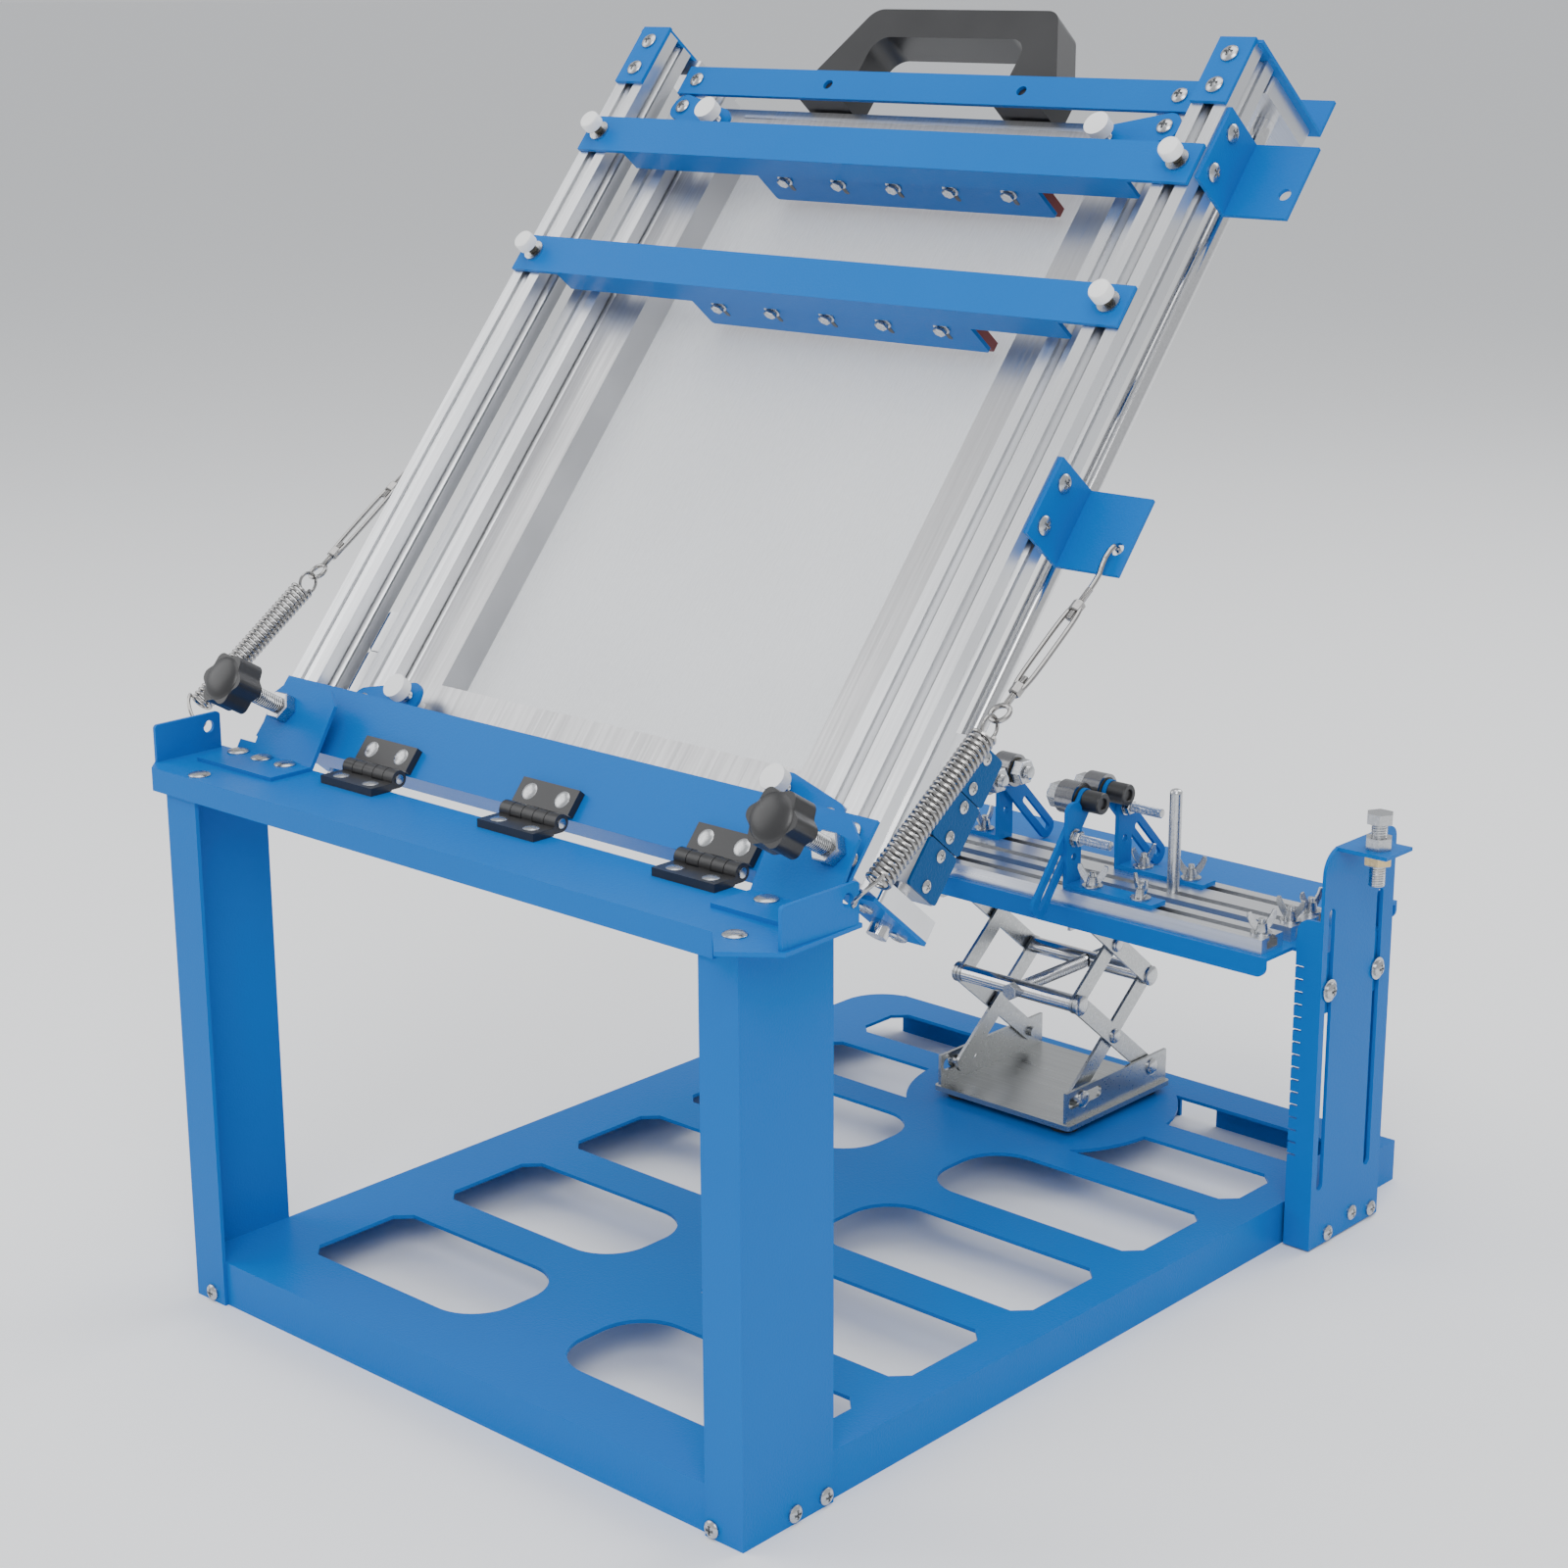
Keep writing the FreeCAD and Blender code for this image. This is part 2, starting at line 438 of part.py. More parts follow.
class Outline:
    """A closed outline: corners (a, b, rounding) or a circle."""

    def __init__(self, corners=None, centre=None, radius=None):
        self.corners = corners
        self.centre = centre
        self.radius = radius

    def runs(self):
        """List the straight runs and corner arcs as (start, end, arc centre or None, radius)."""
        count = len(self.corners)
        stops = []
        for i in range(count):
            a, b, radius = self.corners[i]
            if radius.value == 0:
                stops.append(((a, b), (a, b), None, radius))
                continue
            before, after = self.corners[i - 1], self.corners[(i + 1) % count]
            into = Vector(before[0].value - a.value, before[1].value - b.value, 0).normalize()
            onward = Vector(after[0].value - a.value, after[1].value - b.value, 0).normalize()
            opening = into.getAngle(onward)
            back = radius * (1 / math.tan(opening / 2))
            middle = (into + onward).normalize() * (radius.value / math.sin(opening / 2))
            stops.append(((a + back * into.x, b + back * into.y), (a + back * onward.x, b + back * onward.y),
                          Vector(a.value, b.value, 0) + middle, radius))
        found = []
        for i in range(count):
            start, end, middle, radius = stops[i]
            if middle is not None:
                found.append((start, end, middle, radius))
            found.append((end, stops[(i + 1) % count][0], None, None))
        return found


def poly(*corners):
    """Outline with straight edges through the corners, each (a, b) or (a, b, rounding)."""
    return Outline(corners=[tuple(Size.of(part) for part in (*corner, 0)[:3]) for corner in corners])


def rect(a_low, a_high, b_low, b_high, rounding=0):
    """Rectangular outline between two pairs of limits."""
    return poly((a_low, b_low, rounding), (a_high, b_low, rounding),
                (a_high, b_high, rounding), (a_low, b_high, rounding))


def circle(a, b, radius):
    """Circular outline."""
    return Outline(centre=(Size.of(a), Size.of(b)), radius=Size.of(radius))


def hexagon(a, b, flats):
    """Regular hexagon with two corners along the first axis."""
    reach = flats / math.sqrt(3.0)
    turns = [math.radians(60 * step) for step in range(6)]
    return poly(*[(a + reach * math.cos(turn), b + reach * math.sin(turn)) for turn in turns])


def strip(a0, b0, a1, b1, half, rounding=0):
    """Straight strip between two points, with its half width beside and beyond them."""
    a0, b0, a1, b1 = [Size.of(item) for item in (a0, b0, a1, b1)]
    run = math.hypot(a1.value - a0.value, b1.value - b0.value)
    along_a, along_b = (a1.value - a0.value) / run, (b1.value - b0.value) / run
    return poly((a0 - half * (along_a - along_b), b0 - half * (along_b + along_a), rounding),
                (a1 + half * (along_a + along_b), b1 + half * (along_b - along_a), rounding),
                (a1 + half * (along_a - along_b), b1 + half * (along_b + along_a), rounding),
                (a0 - half * (along_a + along_b), b0 - half * (along_b - along_a), rounding))


class Piece:
    """One solid built from outlines pushed along the X, Y or Z axis."""

    def __init__(self, label):
        self.body = doc.addObject("PartDesign::Body", label)
        self.body.Label = label
        self.volume = 0.0

    def _sketch(self, axis, at, outlines):
        """Draw the outlines on the plane across an axis, at a height along it."""
        at = Size.of(at)
        role = PLANES[axis]
        plane = [item for item in self.body.Origin.OriginFeatures if item.Role == role][0]
        sketch = self.body.newObject("Sketcher::SketchObject", self.body.Name + "_sketch")
        sketch.AttachmentSupport = (plane, [""])
        sketch.MapMode = "FlatFace"
        offset = -at if axis == "y" else at
        sketch.AttachmentOffset = FreeCAD.Placement(Vector(0, 0, offset.value), FreeCAD.Rotation())
        sketch.setExpression("AttachmentOffset.Base.z", offset.text)
        for outline in outlines:
            if outline.corners:
                self._draw_polygon(sketch, outline)
            else:
                self._draw_circle(sketch, outline)
        return sketch

    @staticmethod
    def _bind(sketch, kind, edge, point, size):
        index = sketch.addConstraint(Sketcher.Constraint(kind, -1, 1, edge, point, size.value))
        sketch.setExpression(f"Constraints[{index}]", size.text)

    def _draw_polygon(self, sketch, outline):
        runs = outline.runs()
        edges = []
        for start, end, middle, radius in runs:
            first = Vector(start[0].value, start[1].value, 0)
            last = Vector(end[0].value, end[1].value, 0)
            if middle is None:
                edges.append((sketch.addGeometry(Part.LineSegment(first, last), False), 1, 2))
                continue
            from_angle = math.atan2(first.y - middle.y, first.x - middle.x)
            to_angle = math.atan2(last.y - middle.y, last.x - middle.x)
            anticlockwise = (first - middle).cross(last - middle).z > 0
            ring = Part.Circle(middle, Vector(0, 0, 1), radius.value)
            angles = (from_angle, to_angle) if anticlockwise else (to_angle, from_angle)
            points = (1, 2) if anticlockwise else (2, 1)
            edge = sketch.addGeometry(Part.ArcOfCircle(ring, *angles), False)
            index = sketch.addConstraint(Sketcher.Constraint("Radius", edge, radius.value))
            sketch.setExpression(f"Constraints[{index}]", radius.text)
            edges.append((edge, *points))
        for number, (edge, first, last) in enumerate(edges):
            following, following_first, _ = edges[(number + 1) % len(edges)]
            sketch.addConstraint(Sketcher.Constraint("Coincident", edge, last, following, following_first))
            a, b = runs[number][0]
            self._bind(sketch, "DistanceX", edge, first, a)
            self._bind(sketch, "DistanceY", edge, first, b)

    def _draw_circle(self, sketch, outline):
        a, b = outline.centre
        ring = Part.Circle(Vector(a.value, b.value, 0), Vector(0, 0, 1), outline.radius.value)
        edge = sketch.addGeometry(ring, False)
        self._bind(sketch, "DistanceX", edge, 3, a)
        self._bind(sketch, "DistanceY", edge, 3, b)
        index = sketch.addConstraint(Sketcher.Constraint("Radius", edge, outline.radius.value))
        sketch.setExpression(f"Constraints[{index}]", outline.radius.text)

    def _push(self, kind, axis, low, high, outlines, reversed_way):
        low, high = Size.of(low), Size.of(high)
        sketch = self._sketch(axis, low, outlines)
        feature = self.body.newObject("PartDesign::" + kind, self.body.Name + "_" + kind.lower())
        feature.Profile = (sketch, [""])
        feature.Length = (high - low).value
        feature.setExpression("Length", (high - low).text)
        feature.Reversed = reversed_way
        sketch.Visibility = False
        return feature

    def add(self, axis, low, high, *outlines):
        """Add material between two heights along an axis."""
        self._push("Pad", axis, low, high, outlines, axis == "y")
        return self

    def cut(self, axis, low, high, *outlines):
        """Cut away material between two heights along an axis."""
        doc.recompute()
        before = self.body.Shape.Volume
        self._push("Pocket", axis, low, high, outlines, axis != "y")
        doc.recompute()
        if self.body.Shape.Volume > before - 1e-3:
            raise ValueError(f"{self.body.Label}: a cut along {axis} removes nothing")
        return self


def place(item, base_y=None, base_z=None, angle=None, base_x=None):
    """Place a piece or group: moved in X, Y and Z, and turned about the X axis, by sizes."""
    target = item.body if isinstance(item, Piece) else item
    angle = Size.of(0 if angle is None else angle)
    spots = [Size.of(0 if spot is None else spot) for spot in (base_x, base_y, base_z)]
    turn = FreeCAD.Rotation(Vector(1, 0, 0), angle.value if angle.value else 1.0)
    target.Placement = FreeCAD.Placement(Vector(*[spot.value for spot in spots]), turn)
    target.setExpression("Placement.Rotation.Angle", angle.text)
    for letter, spot in zip("xyz", spots):
        target.setExpression(f"Placement.Base.{letter}", spot.text)
    return item


def on_frame(item):
    """Lay a piece that was drawn level, pin line at the origin, onto the tilted frame."""
    return place(item, base_y=pin_y, base_z=pin_z, angle=frame_tilt)


nodes = []


def keep(item):
    """Note an object as a finished sub-part."""
    nodes.append(item)
    return item


def group(label, pieces):
    """Join like pieces into one sub-part whose solids stay apart."""
    compound = doc.addObject("Part::Compound", label)
    compound.Label = label
    compound.Links = [piece.body for piece in pieces]
    return compound


def profile_outline(middle_a, middle_b):
    """Corners of a square profile with an undercut slot in each of its four sides."""
    half = profile / 2
    mouth, room = slot_mouth / 2, slot_room / 2
    quarter = [(half, -half), (half, -mouth), (half - slot_lip, -mouth), (half - slot_lip, -room),
               (half - slot_deep, -slot_room / 5), (half - slot_deep, slot_room / 5),
               (half - slot_lip, room), (half - slot_lip, mouth), (half, mouth)]
    corners = []
    for turn in range(4):
        for a, b in quarter:
            for _ in range(turn):
                a, b = -b, a
            corners.append((middle_a + a, middle_b + b))
    return poly(*corners)


def span(side, near, far):
    """Limits along X for one side, -1 left or 1 right, from two distances to the middle."""
    near, far = Size.of(near), Size.of(far)
    return (near, far) if side > 0 else (-far, -near)


def oblong(a_low, a_high, b_low, b_high, half):
    """Slot-shaped outline with ends rounded by nearly its half width."""
    return rect(a_low, a_high, b_low, b_high, half * 0.98)


def cut_out(outer, inner, front, depth, rounding):
    """Cut-out of the base tray, chamfered at its outer end and rounded at its inner end."""
    corner = slot_chamfer if outer.value > inner.value else -slot_chamfer
    return poly((outer, front + slot_chamfer), (outer - corner, front), (inner, front, rounding),
                (inner, front + depth, rounding), (outer - corner, front + depth),
                (outer, front + depth - slot_chamfer))


def in_frame(y, z):
    """Turn a place beside the pin, level, into one along and across the tilted frame."""
    along, up = y - pin_y, z - pin_z
    return along * tilt_cos + up * tilt_sin, up * tilt_cos - along * tilt_sin


# Base tray
base_tray = Piece("base_tray")
base_tray.add("z", base_height - sheet_steel, base_height,
              poly((-base_half, base_front), (base_half, base_front), (base_half, base_rear),
                   (-base_half, base_rear, base_round)))
rows = [(slot_first + slot_pitch * number, slot_depth, slot_round) for number in range(4)]
rows += [(rear_slot_start, rear_slot_depth, rear_slot_round),
         (last_slot_start, last_slot_depth, rear_slot_round)]
openings = [cut_out(left_slot_outer, left_slot_inner, *row) for row in rows]
openings += [cut_out(right_slot_outer, right_slot_inner, *row) for row in rows]
base_tray.cut("z", base_height - sheet_steel, base_height, *openings)
base_tray.add("z", base_height - sheet_steel, base_height, circle(jack_x, pad_y, pad_radius))
base_tray.add("y", base_front, base_front + sheet_steel, rect(-base_half, base_half, 0, base_height))
base_tray.add("x", -base_half, -base_half + sheet_steel,
              rect(base_front, base_rear - base_round, 0, base_height))
base_tray.add("x", base_half - sheet_steel, base_half, rect(base_front, base_rear, 0, base_height))
for step in (-1, 0, 1):
    middle = rear_flange_pitch * step
    base_tray.add("y", base_rear - sheet_steel, base_rear,
                  rect(middle - rear_flange_length / 2, middle + rear_flange_length / 2, 0, base_height))
ear_front, ear_rear = post_front + sheet_steel * 1.5, post_rear - sheet_steel * 1.5
base_tray.add("z", base_height - sheet_steel, base_height,
              rect(base_half, base_half + ear_width, ear_front, ear_rear))
base_tray.add("x", base_half + ear_width - sheet_steel, base_half + ear_width,
              rect(ear_front, ear_rear, sheet_steel, base_height))
keep(base_tray)

# Legs, each a front flange, a web and a flange below the table
leg_top = table_height - sheet_steel
for side, name in ((-1, "left_leg"), (1, "right_leg")):
    leg = Piece(name)
    leg.add("x", *span(side, base_half, leg_half_span), rect(0, leg_depth, 0, leg_top))
    leg.add("y", 0, base_front, rect(*span(side, leg_half_span - leg_flange, leg_half_span), 0, leg_top))
    leg.add("z", leg_top - sheet_steel, leg_top,
            rect(*span(side, leg_half_span - leg_cap_reach, leg_half_span), base_front, leg_cap))
    keep(leg)

# Table with its front flange and upturned ends, whose holes' edges the spring hooks rest on
table = Piece("table_top")
hook_rest = tab_hole - link_wire - slide_gap
front_face = -base_front
table.add("z", leg_top, table_height,
          poly((table_left + skirt_end_gap, front_face), (skirt_right, front_face),
               (skirt_right + corner_reach, front_face - corner_reach),
               (table_right + sheet_steel, front_face), (table_right, table_rear),
               (table_left, table_rear), (table_left, front_face + skirt_end_gap)))
table.add("y", front_face, 0, rect(table_left + skirt_end_gap, skirt_right, table_height - table_skirt,
                                   table_height))
for low, high, start in ((table_left, table_left + sheet_steel, front_face + skirt_end_gap),
                         (table_right - sheet_steel, table_right, front_face)):
    table.add("x", low, high, poly((start, table_height), (tab_rear, table_height),
                                   (tab_rear, table_height + tab_height, sheet_steel),
                                   (start, table_height + tab_height, sheet_steel)))
    table.cut("x", low, high, circle(tab_hole_y - hook_rest * cosine(spring_angle),
                                     tab_hole_z - hook_rest * sine(spring_angle), tab_hole))
keep(table)

# Rear post, a channel with two slots and a shelf for the adjusting bolt
post = Piece("rear_post")
post.add("x", post_inner, post_web_x,
         poly((post_front, post_foot), (post_rear, post_foot), (post_rear, post_height, post_round / 2),
              (post_front, post_height, post_round)))
post.cut("x", post_inner, post_web_x,
         *[oblong(middle - post_slot_half, middle + post_slot_half, post_slot_low, post_slot_high,
                  post_slot_half) for middle in (post_slot_front, post_slot_rear)])
for low, high in ((post_front, post_front + sheet_steel), (post_rear - sheet_steel, post_rear)):
    post.add("y", low, high, poly((post_web_x, post_foot), (post_web_x, post_flange_height),
                                  (post_web_x - post_flange, post_flange_height, post_flange / 2),
                                  (post_web_x - post_flange, post_foot)))
post_edge = post_web_x - post_flange
post.cut("y", post_front, post_front + sheet_steel,
         *[rect(post_edge - notch_depth, post_edge + notch_depth, notch_first + notch_pitch * number,
                notch_first + notch_pitch * number + notch_height) for number in range(notch_count)])
post.add("z", post_height - sheet_steel, post_height,
         rect(post_inner, post_web_x + shelf_reach, shelf_front, shelf_front + shelf_depth))
post.cut("z", post_height - sheet_steel, post_height, circle(bolt_x, bolt_y, bolt_radius + bolt_fit))
keep(post)

# Adjusting bolt with its head and two nuts
bolt = Piece("adjusting_bolt")
bolt.add("z", bolt_low, bolt_top, circle(bolt_x, bolt_y, bolt_radius))
shelf_under = post_height - sheet_steel
for low, high in ((bolt_top - bolt_head, bolt_top), (post_height, post_height + nut_thick),
                  (shelf_under - nut_thick, shelf_under)):
    bolt.add("z", low, high, hexagon(bolt_x, bolt_y, hex_flat))
keep(bolt)

# Hinges: both leaves share the knuckle layout of five along the pin
knuckle = hinge_width / 5
hinge_middles = [hinge_middle + hinge_pitch * step for step in (-1, 0, 1)]


def knuckle_span(middle, number):
    """Limits along X of one of the five knuckles of a hinge."""
    left = middle - hinge_width / 2 + knuckle * number
    return left + knuckle_gap / 2, left + knuckle - knuckle_gap / 2


lower_leaves = []
for number, middle in enumerate(hinge_middles):
    leaf = Piece(f"lower_leaf_{number}")
    left, right = middle - hinge_width / 2, middle + hinge_width / 2
    leaf_rear = pin_y - hinge_barrel - hinge_relief
    leaf_high = table_height + hinge_leaf_thick
    leaf.add("z", table_height, leaf_high, rect(left, right, pin_y - hinge_leaf, leaf_rear))
    leaf.add("x", left + knuckle_gap / 2, right - knuckle_gap / 2, circle(pin_y, pin_z, hinge_pin))
    for spot in (0, 2, 4):
        start, end = knuckle_span(middle, spot)
        leaf.add("z", pin_z - hinge_barrel, leaf_high, rect(start, end, leaf_rear, pin_y))
        leaf.add("x", start, end, circle(pin_y, pin_z, hinge_barrel))
    lower_leaves.append(leaf)
keep(group("lower_hinge_leaves", lower_leaves))

upper_leaves = []
for number, middle in enumerate(hinge_middles):
    leaf = Piece(f"upper_leaf_{number}")
    left, right = middle - hinge_width / 2, middle + hinge_width / 2
    leaf_near = hinge_barrel + hinge_relief
    leaf_high = plate_top + hinge_leaf_thick
    leaf.add("z", plate_top, leaf_high, rect(left, right, leaf_near, hinge_leaf))
    for spot in (1, 3):
        start, end = knuckle_span(middle, spot)
        leaf.add("x", start, end, circle(0, 0, hinge_barrel))
        leaf.add("z", -hinge_barrel, leaf_high, rect(start, end, 0, leaf_near))
        leaf.cut("x", start, end, circle(0, 0, hinge_pin + pin_fit))
    upper_leaves.append(leaf)
keep(on_frame(group("upper_hinge_leaves", upper_leaves)))

# Stop brackets: a riveted foot, an ear with a welded nut, drawn along the ear from its bend
bend_y = table_rear - sheet_steel / 2
ear_cos, ear_sin = cosine(ear_tilt), sine(ear_tilt)


def in_ear(y, z):
    """Turn a place beside an ear's bend, level, into one along and across the ear."""
    along, up = y - bend_y, z - table_height
    return along * ear_cos + up * ear_sin, up * ear_cos - along * ear_sin


def on_ear(item):
    """Lay a piece that was drawn level, bend at the origin, onto the tilted ears."""
    return place(item, base_y=bend_y, base_z=table_height, angle=ear_tilt)


foot_high = table_height + sheet_steel
foot_front = table_rear - bracket_foot_depth
top_bend = (sheet_steel * (1 - ear_cos) / ear_sin, sheet_steel)
brackets = []
for left, right, spindle, outer, name in (
        (bracket_left, bracket_left + bracket_width, stop_left, -1, "left_bracket"),
        (bracket_right - bracket_width, bracket_right, stop_right, 1, "right_bracket")):
    bracket = Piece(name)
    bracket.add("x", left, right,
                poly(in_ear(foot_front, table_height), (0, 0), (ear_top, 0), (ear_top, sheet_steel),
                     top_bend, in_ear(foot_front, foot_high)))
    for side, edge in ((-1, left), (1, right)):
        inset = ear_neck if side == outer else Size.of(0)
        flank, beyond = edge - inset * side, edge + ear_round * side
        bracket.cut("z", 0, sheet_steel,
                    poly((beyond, ear_root), (flank, ear_root), (flank, ear_top - ear_round),
                         (flank - ear_round * side, ear_top), (flank - ear_round * side, ear_top + ear_round),
                         (beyond, ear_top + ear_round)))
    bracket.add("z", sheet_steel, sheet_steel + stop_nut_thick, hexagon(spindle, stop_rise, stop_nut))
    bracket.cut("z", 0, sheet_steel + stop_nut_thick, circle(spindle, stop_rise, spindle_radius + spindle_fit))
    brackets.append(bracket)
keep(on_ear(group("stop_brackets", brackets)))

# Star knobs, whose spindles nearly touch the bottom plate of the raised frame
plate_turn = ear_tilt - frame_tilt
spindle_rise = in_frame(bend_y + stop_rise * ear_cos, table_height + stop_rise * ear_sin)[1] - plate_top
spindle_tail = (spindle_rise - spindle_tip_gap - spindle_radius * sine(plate_turn)) / cosine(plate_turn)
for spindle, name in ((stop_left, "left_star_knob"), (stop_right, "right_star_knob")):
    knob = Piece(name)
    knob.add("z", -spindle_tail, knob_low, circle(spindle, stop_rise, spindle_radius))
    lobes = []
    for step in range(12):
        reach = knob_radius * 1.12 if step % 2 == 0 else knob_waist
        turn = math.radians(30 * step)
        rounding = knob_radius * (0.28 if step % 2 == 0 else 0.18)
        lobes.append((spindle + reach * math.cos(turn), stop_rise + reach * math.sin(turn), rounding))
    knob.add("z", knob_low, knob_low + knob_thick, poly(*lobes))
    keep(on_ear(knob))

# Bottom plate of the tilting frame
bottom_plate = Piece("bottom_plate")
bottom_plate.add("z", plate_under, plate_top, rect(-frame_half, frame_half, bottom_plate_low,
                                                   bottom_plate_top))
bottom_plate.add("y", bottom_plate_low, bottom_plate_low + sheet_steel,
                 rect(-bottom_flange_half, bottom_flange_half, plate_top - bottom_flange, plate_top))
keep(on_frame(bottom_plate))


def both_sides(label, build):
    """Build a piece for each side, -1 left and 1 right, as one sub-part on the frame."""
    return keep(on_frame(group(label, [part for side in (-1, 1) for part in build(side)])))


def outer_profile(side):
    bar = Piece(f"outer_profile_{side + 1}")
    middle = (frame_half - profile / 2) * side
    bar.add("y", frame_start, frame_end, profile_outline(middle, profile_middle))
    bar.cut("y", frame_start, frame_end, circle(middle, profile_middle, profile_bore))
    return [bar]


both_sides("outer_profiles", outer_profile)


def end_cap(side):
    cap = Piece(f"end_cap_{side + 1}")
    cap.add("z", plate_under, plate_top,
            rect(*span(side, frame_half - profile, frame_half), frame_end + sheet_steel - cap_length,
                 frame_end + sheet_steel))
    return [cap]


both_sides("end_caps", end_cap)


def upper_end_plate(side):
    plate = Piece(f"upper_end_plate_{side + 1}")
    limits = span(side, end_plate_inner, end_plate_inner + end_plate_width)
    low = plate_under - end_plate_reach
    plate.add("y", frame_end, frame_end + sheet_steel, rect(*limits, low, plate_under))
    if side > 0:
        plate.add("z", low, low + sheet_steel, rect(*limits, frame_end, frame_end + sheet_steel + end_flange))
    return [plate]


both_sides("upper_end_plates", upper_end_plate)


def lower_end_plate(side):
    plate = Piece(f"lower_end_plate_{side + 1}")
    limits = span(side, end_plate_inner - rod_radius, frame_half - sheet_steel / 2)
    plate.add("y", frame_start - sheet_steel, frame_start, rect(*limits, -low_plate_low, profile_under))
    plate.add("z", profile_under - sheet_steel, profile_under,
              rect(*limits, frame_start - sheet_steel, frame_start + low_plate_foot))
    plate.cut("y", frame_start - sheet_steel, frame_start, circle(rod_x * side, -rod_drop,
                                                                  rod_radius + bearing_fit))
    return [plate]


both_sides("lower_end_plates", lower_end_plate)


def guide_rod(side):
    rod = Piece(f"guide_rod_{side + 1}")
    rod.add("y", frame_start - sheet_steel - rod_stub, frame_end, circle(rod_x * side, -rod_drop, rod_radius))
    return [rod]


both_sides("guide_rods", guide_rod)


def shaft_support(side):
    pair = []
    for name, start in (("low", frame_start), ("high", frame_end - support_length)):
        block = Piece(f"support_{name}_{side + 1}")
        middle = rod_x * side
        block.add("y", start, start + support_length,
                  rect(middle - support_width / 2, middle + support_width / 2,
                       -support_top - support_height, -support_top, sheet_steel))
        block.cut("y", start, start + support_length, circle(middle, -rod_drop, rod_radius + bearing_fit))
        pair.append(block)
    return pair


both_sides("shaft_supports", shaft_support)


def spring_tab(side):
    pair = []
    for name, start in (("low", spring_tab_low), ("high", spring_tab_high)):
        tab = Piece(f"spring_tab_{name}_{side + 1}")
        end = start + spring_tab_length
        low = -spring_tab_top - spring_tab_leaf
        tab.add("x", *span(side, frame_half, frame_half + sheet_steel),
                rect(start, end, low, -spring_tab_top))
        tab.add("z", low, low + sheet_steel,
                rect(*span(side, frame_half, frame_half + sheet_steel + spring_tab_reach), start, end))
        tab.cut("z", low, low + sheet_steel, circle(spring_x * side, start + spring_hole_u,
                                                    spring_tab_hole))
        pair.append(tab)
    return pair


both_sides("spring_tabs", spring_tab)


# Squeegee bars, blade holders and blades, one set of each below the other
def squeegee(level, start):
    leaf_low = plate_under + slide_gap
    leaf_high = leaf_low + sheet_steel
    bar = Piece(f"{level}_squeegee_bar")
    bar.add("z", leaf_low, leaf_high, rect(-frame_half, frame_half, start, start + bar_width))
    bar.add("y", start, start + sheet_steel,
            rect(-bar_flange_half, bar_flange_half, leaf_high - bar_flange, leaf_high))
    keep(on_frame(bar))
    holder = Piece(f"{level}_squeegee_holder")
    holder_start = start + sheet_steel
    left, right = holder_middle - holder_half, holder_middle + holder_half
    holder.add("y", holder_start, holder_start + sheet_steel,
               rect(left, right, -holder_drop - holder_reach, -holder_drop, sheet_steel))
    pitch = holder_half * 2 / 5
    slots = []
    for number in range(5):
        middle = left + pitch * (number + 0.5)
        slots.append(oblong(middle - slot_mouth / 2, middle + slot_mouth / 2,
                            -holder_drop - slot_mouth * 2, -holder_drop - slot_mouth * 0.6, slot_mouth / 2))
    holder.cut("y", holder_start, holder_start + sheet_steel, *slots)
    keep(on_frame(holder))
    blade = Piece(f"{level}_squeegee_blade")
    blade_start = holder_start + sheet_steel
    blade_high = -holder_drop - slot_mouth * 1.5
    blade.add("y", blade_start, blade_start + blade_thick,
              rect(left, right, blade_high - blade_reach, blade_high))
    keep(on_frame(blade))


squeegee("upper", bar_high)
squeegee("lower", bar_low)


# Sliding carriage: inner profiles on bearing blocks
def inner_profile(side):
    bar = Piece(f"inner_profile_{side + 1}")
    middle, level = inner_x * side, -inner_drop - profile / 2
    bar.add("y", inner_start, inner_end, profile_outline(middle, level))
    bar.cut("y", inner_start, inner_end, circle(middle, level, profile_bore))
    return [bar]


both_sides("inner_profiles", inner_profile)


def bearing_block(side):
    blocks = []
    for number in range(3):
        block = Piece(f"bearing_block_{number}_{side + 1}")
        start = bearing_start + (bearing_length + bearing_gap) * number
        end = start + bearing_length
        middle = rod_x * side
        block.add("y", start, end, rect(middle - bearing_half, middle + bearing_half,
                                        -bearing_low, -bearing_top))
        block.cut("y", start, end, circle(middle, -rod_drop, rod_radius + bearing_fit))
        block.add("y", start, end, rect(*span(side, inner_x - profile / 2, rod_x - bearing_half),
                                        -bearing_foot_low, inner_under))
        blocks.append(block)
    return blocks


both_sides("bearing_blocks", bearing_block)


def bearing_side_plate(side):
    plates = []
    for number in range(3):
        start = bearing_start + (bearing_length + bearing_gap) * number
        plate = Piece(f"bearing_plate_{number}_{side + 1}")
        plate.add("x", *span(side, rod_x + bearing_half, rod_x + bearing_half + bearing_plate),
                  rect(start, start + bearing_length, -bearing_low, -bearing_top, sheet_steel))
        plates.append(plate)
    return plates


both_sides("bearing_plates", bearing_side_plate)

# Screen frame with its stretched mesh
screen = Piece("screen_frame")
screen.add("z", screen_under, -screen_top,
           rect(-screen_half, screen_half, screen_low_end, screen_high_end, sheet_steel),
           rect(-screen_half + screen_bar, screen_half - screen_bar, screen_low_end + screen_low_bar,
                screen_high_end - screen_high_bar))
keep(on_frame(screen))
mesh = Piece("screen_mesh")
mesh.add("z", screen_under - mesh_thick, screen_under,
         rect(-screen_half + sheet_steel, screen_half - sheet_steel, screen_low_end + sheet_steel,
              screen_high_end - sheet_steel))
keep(on_frame(mesh))

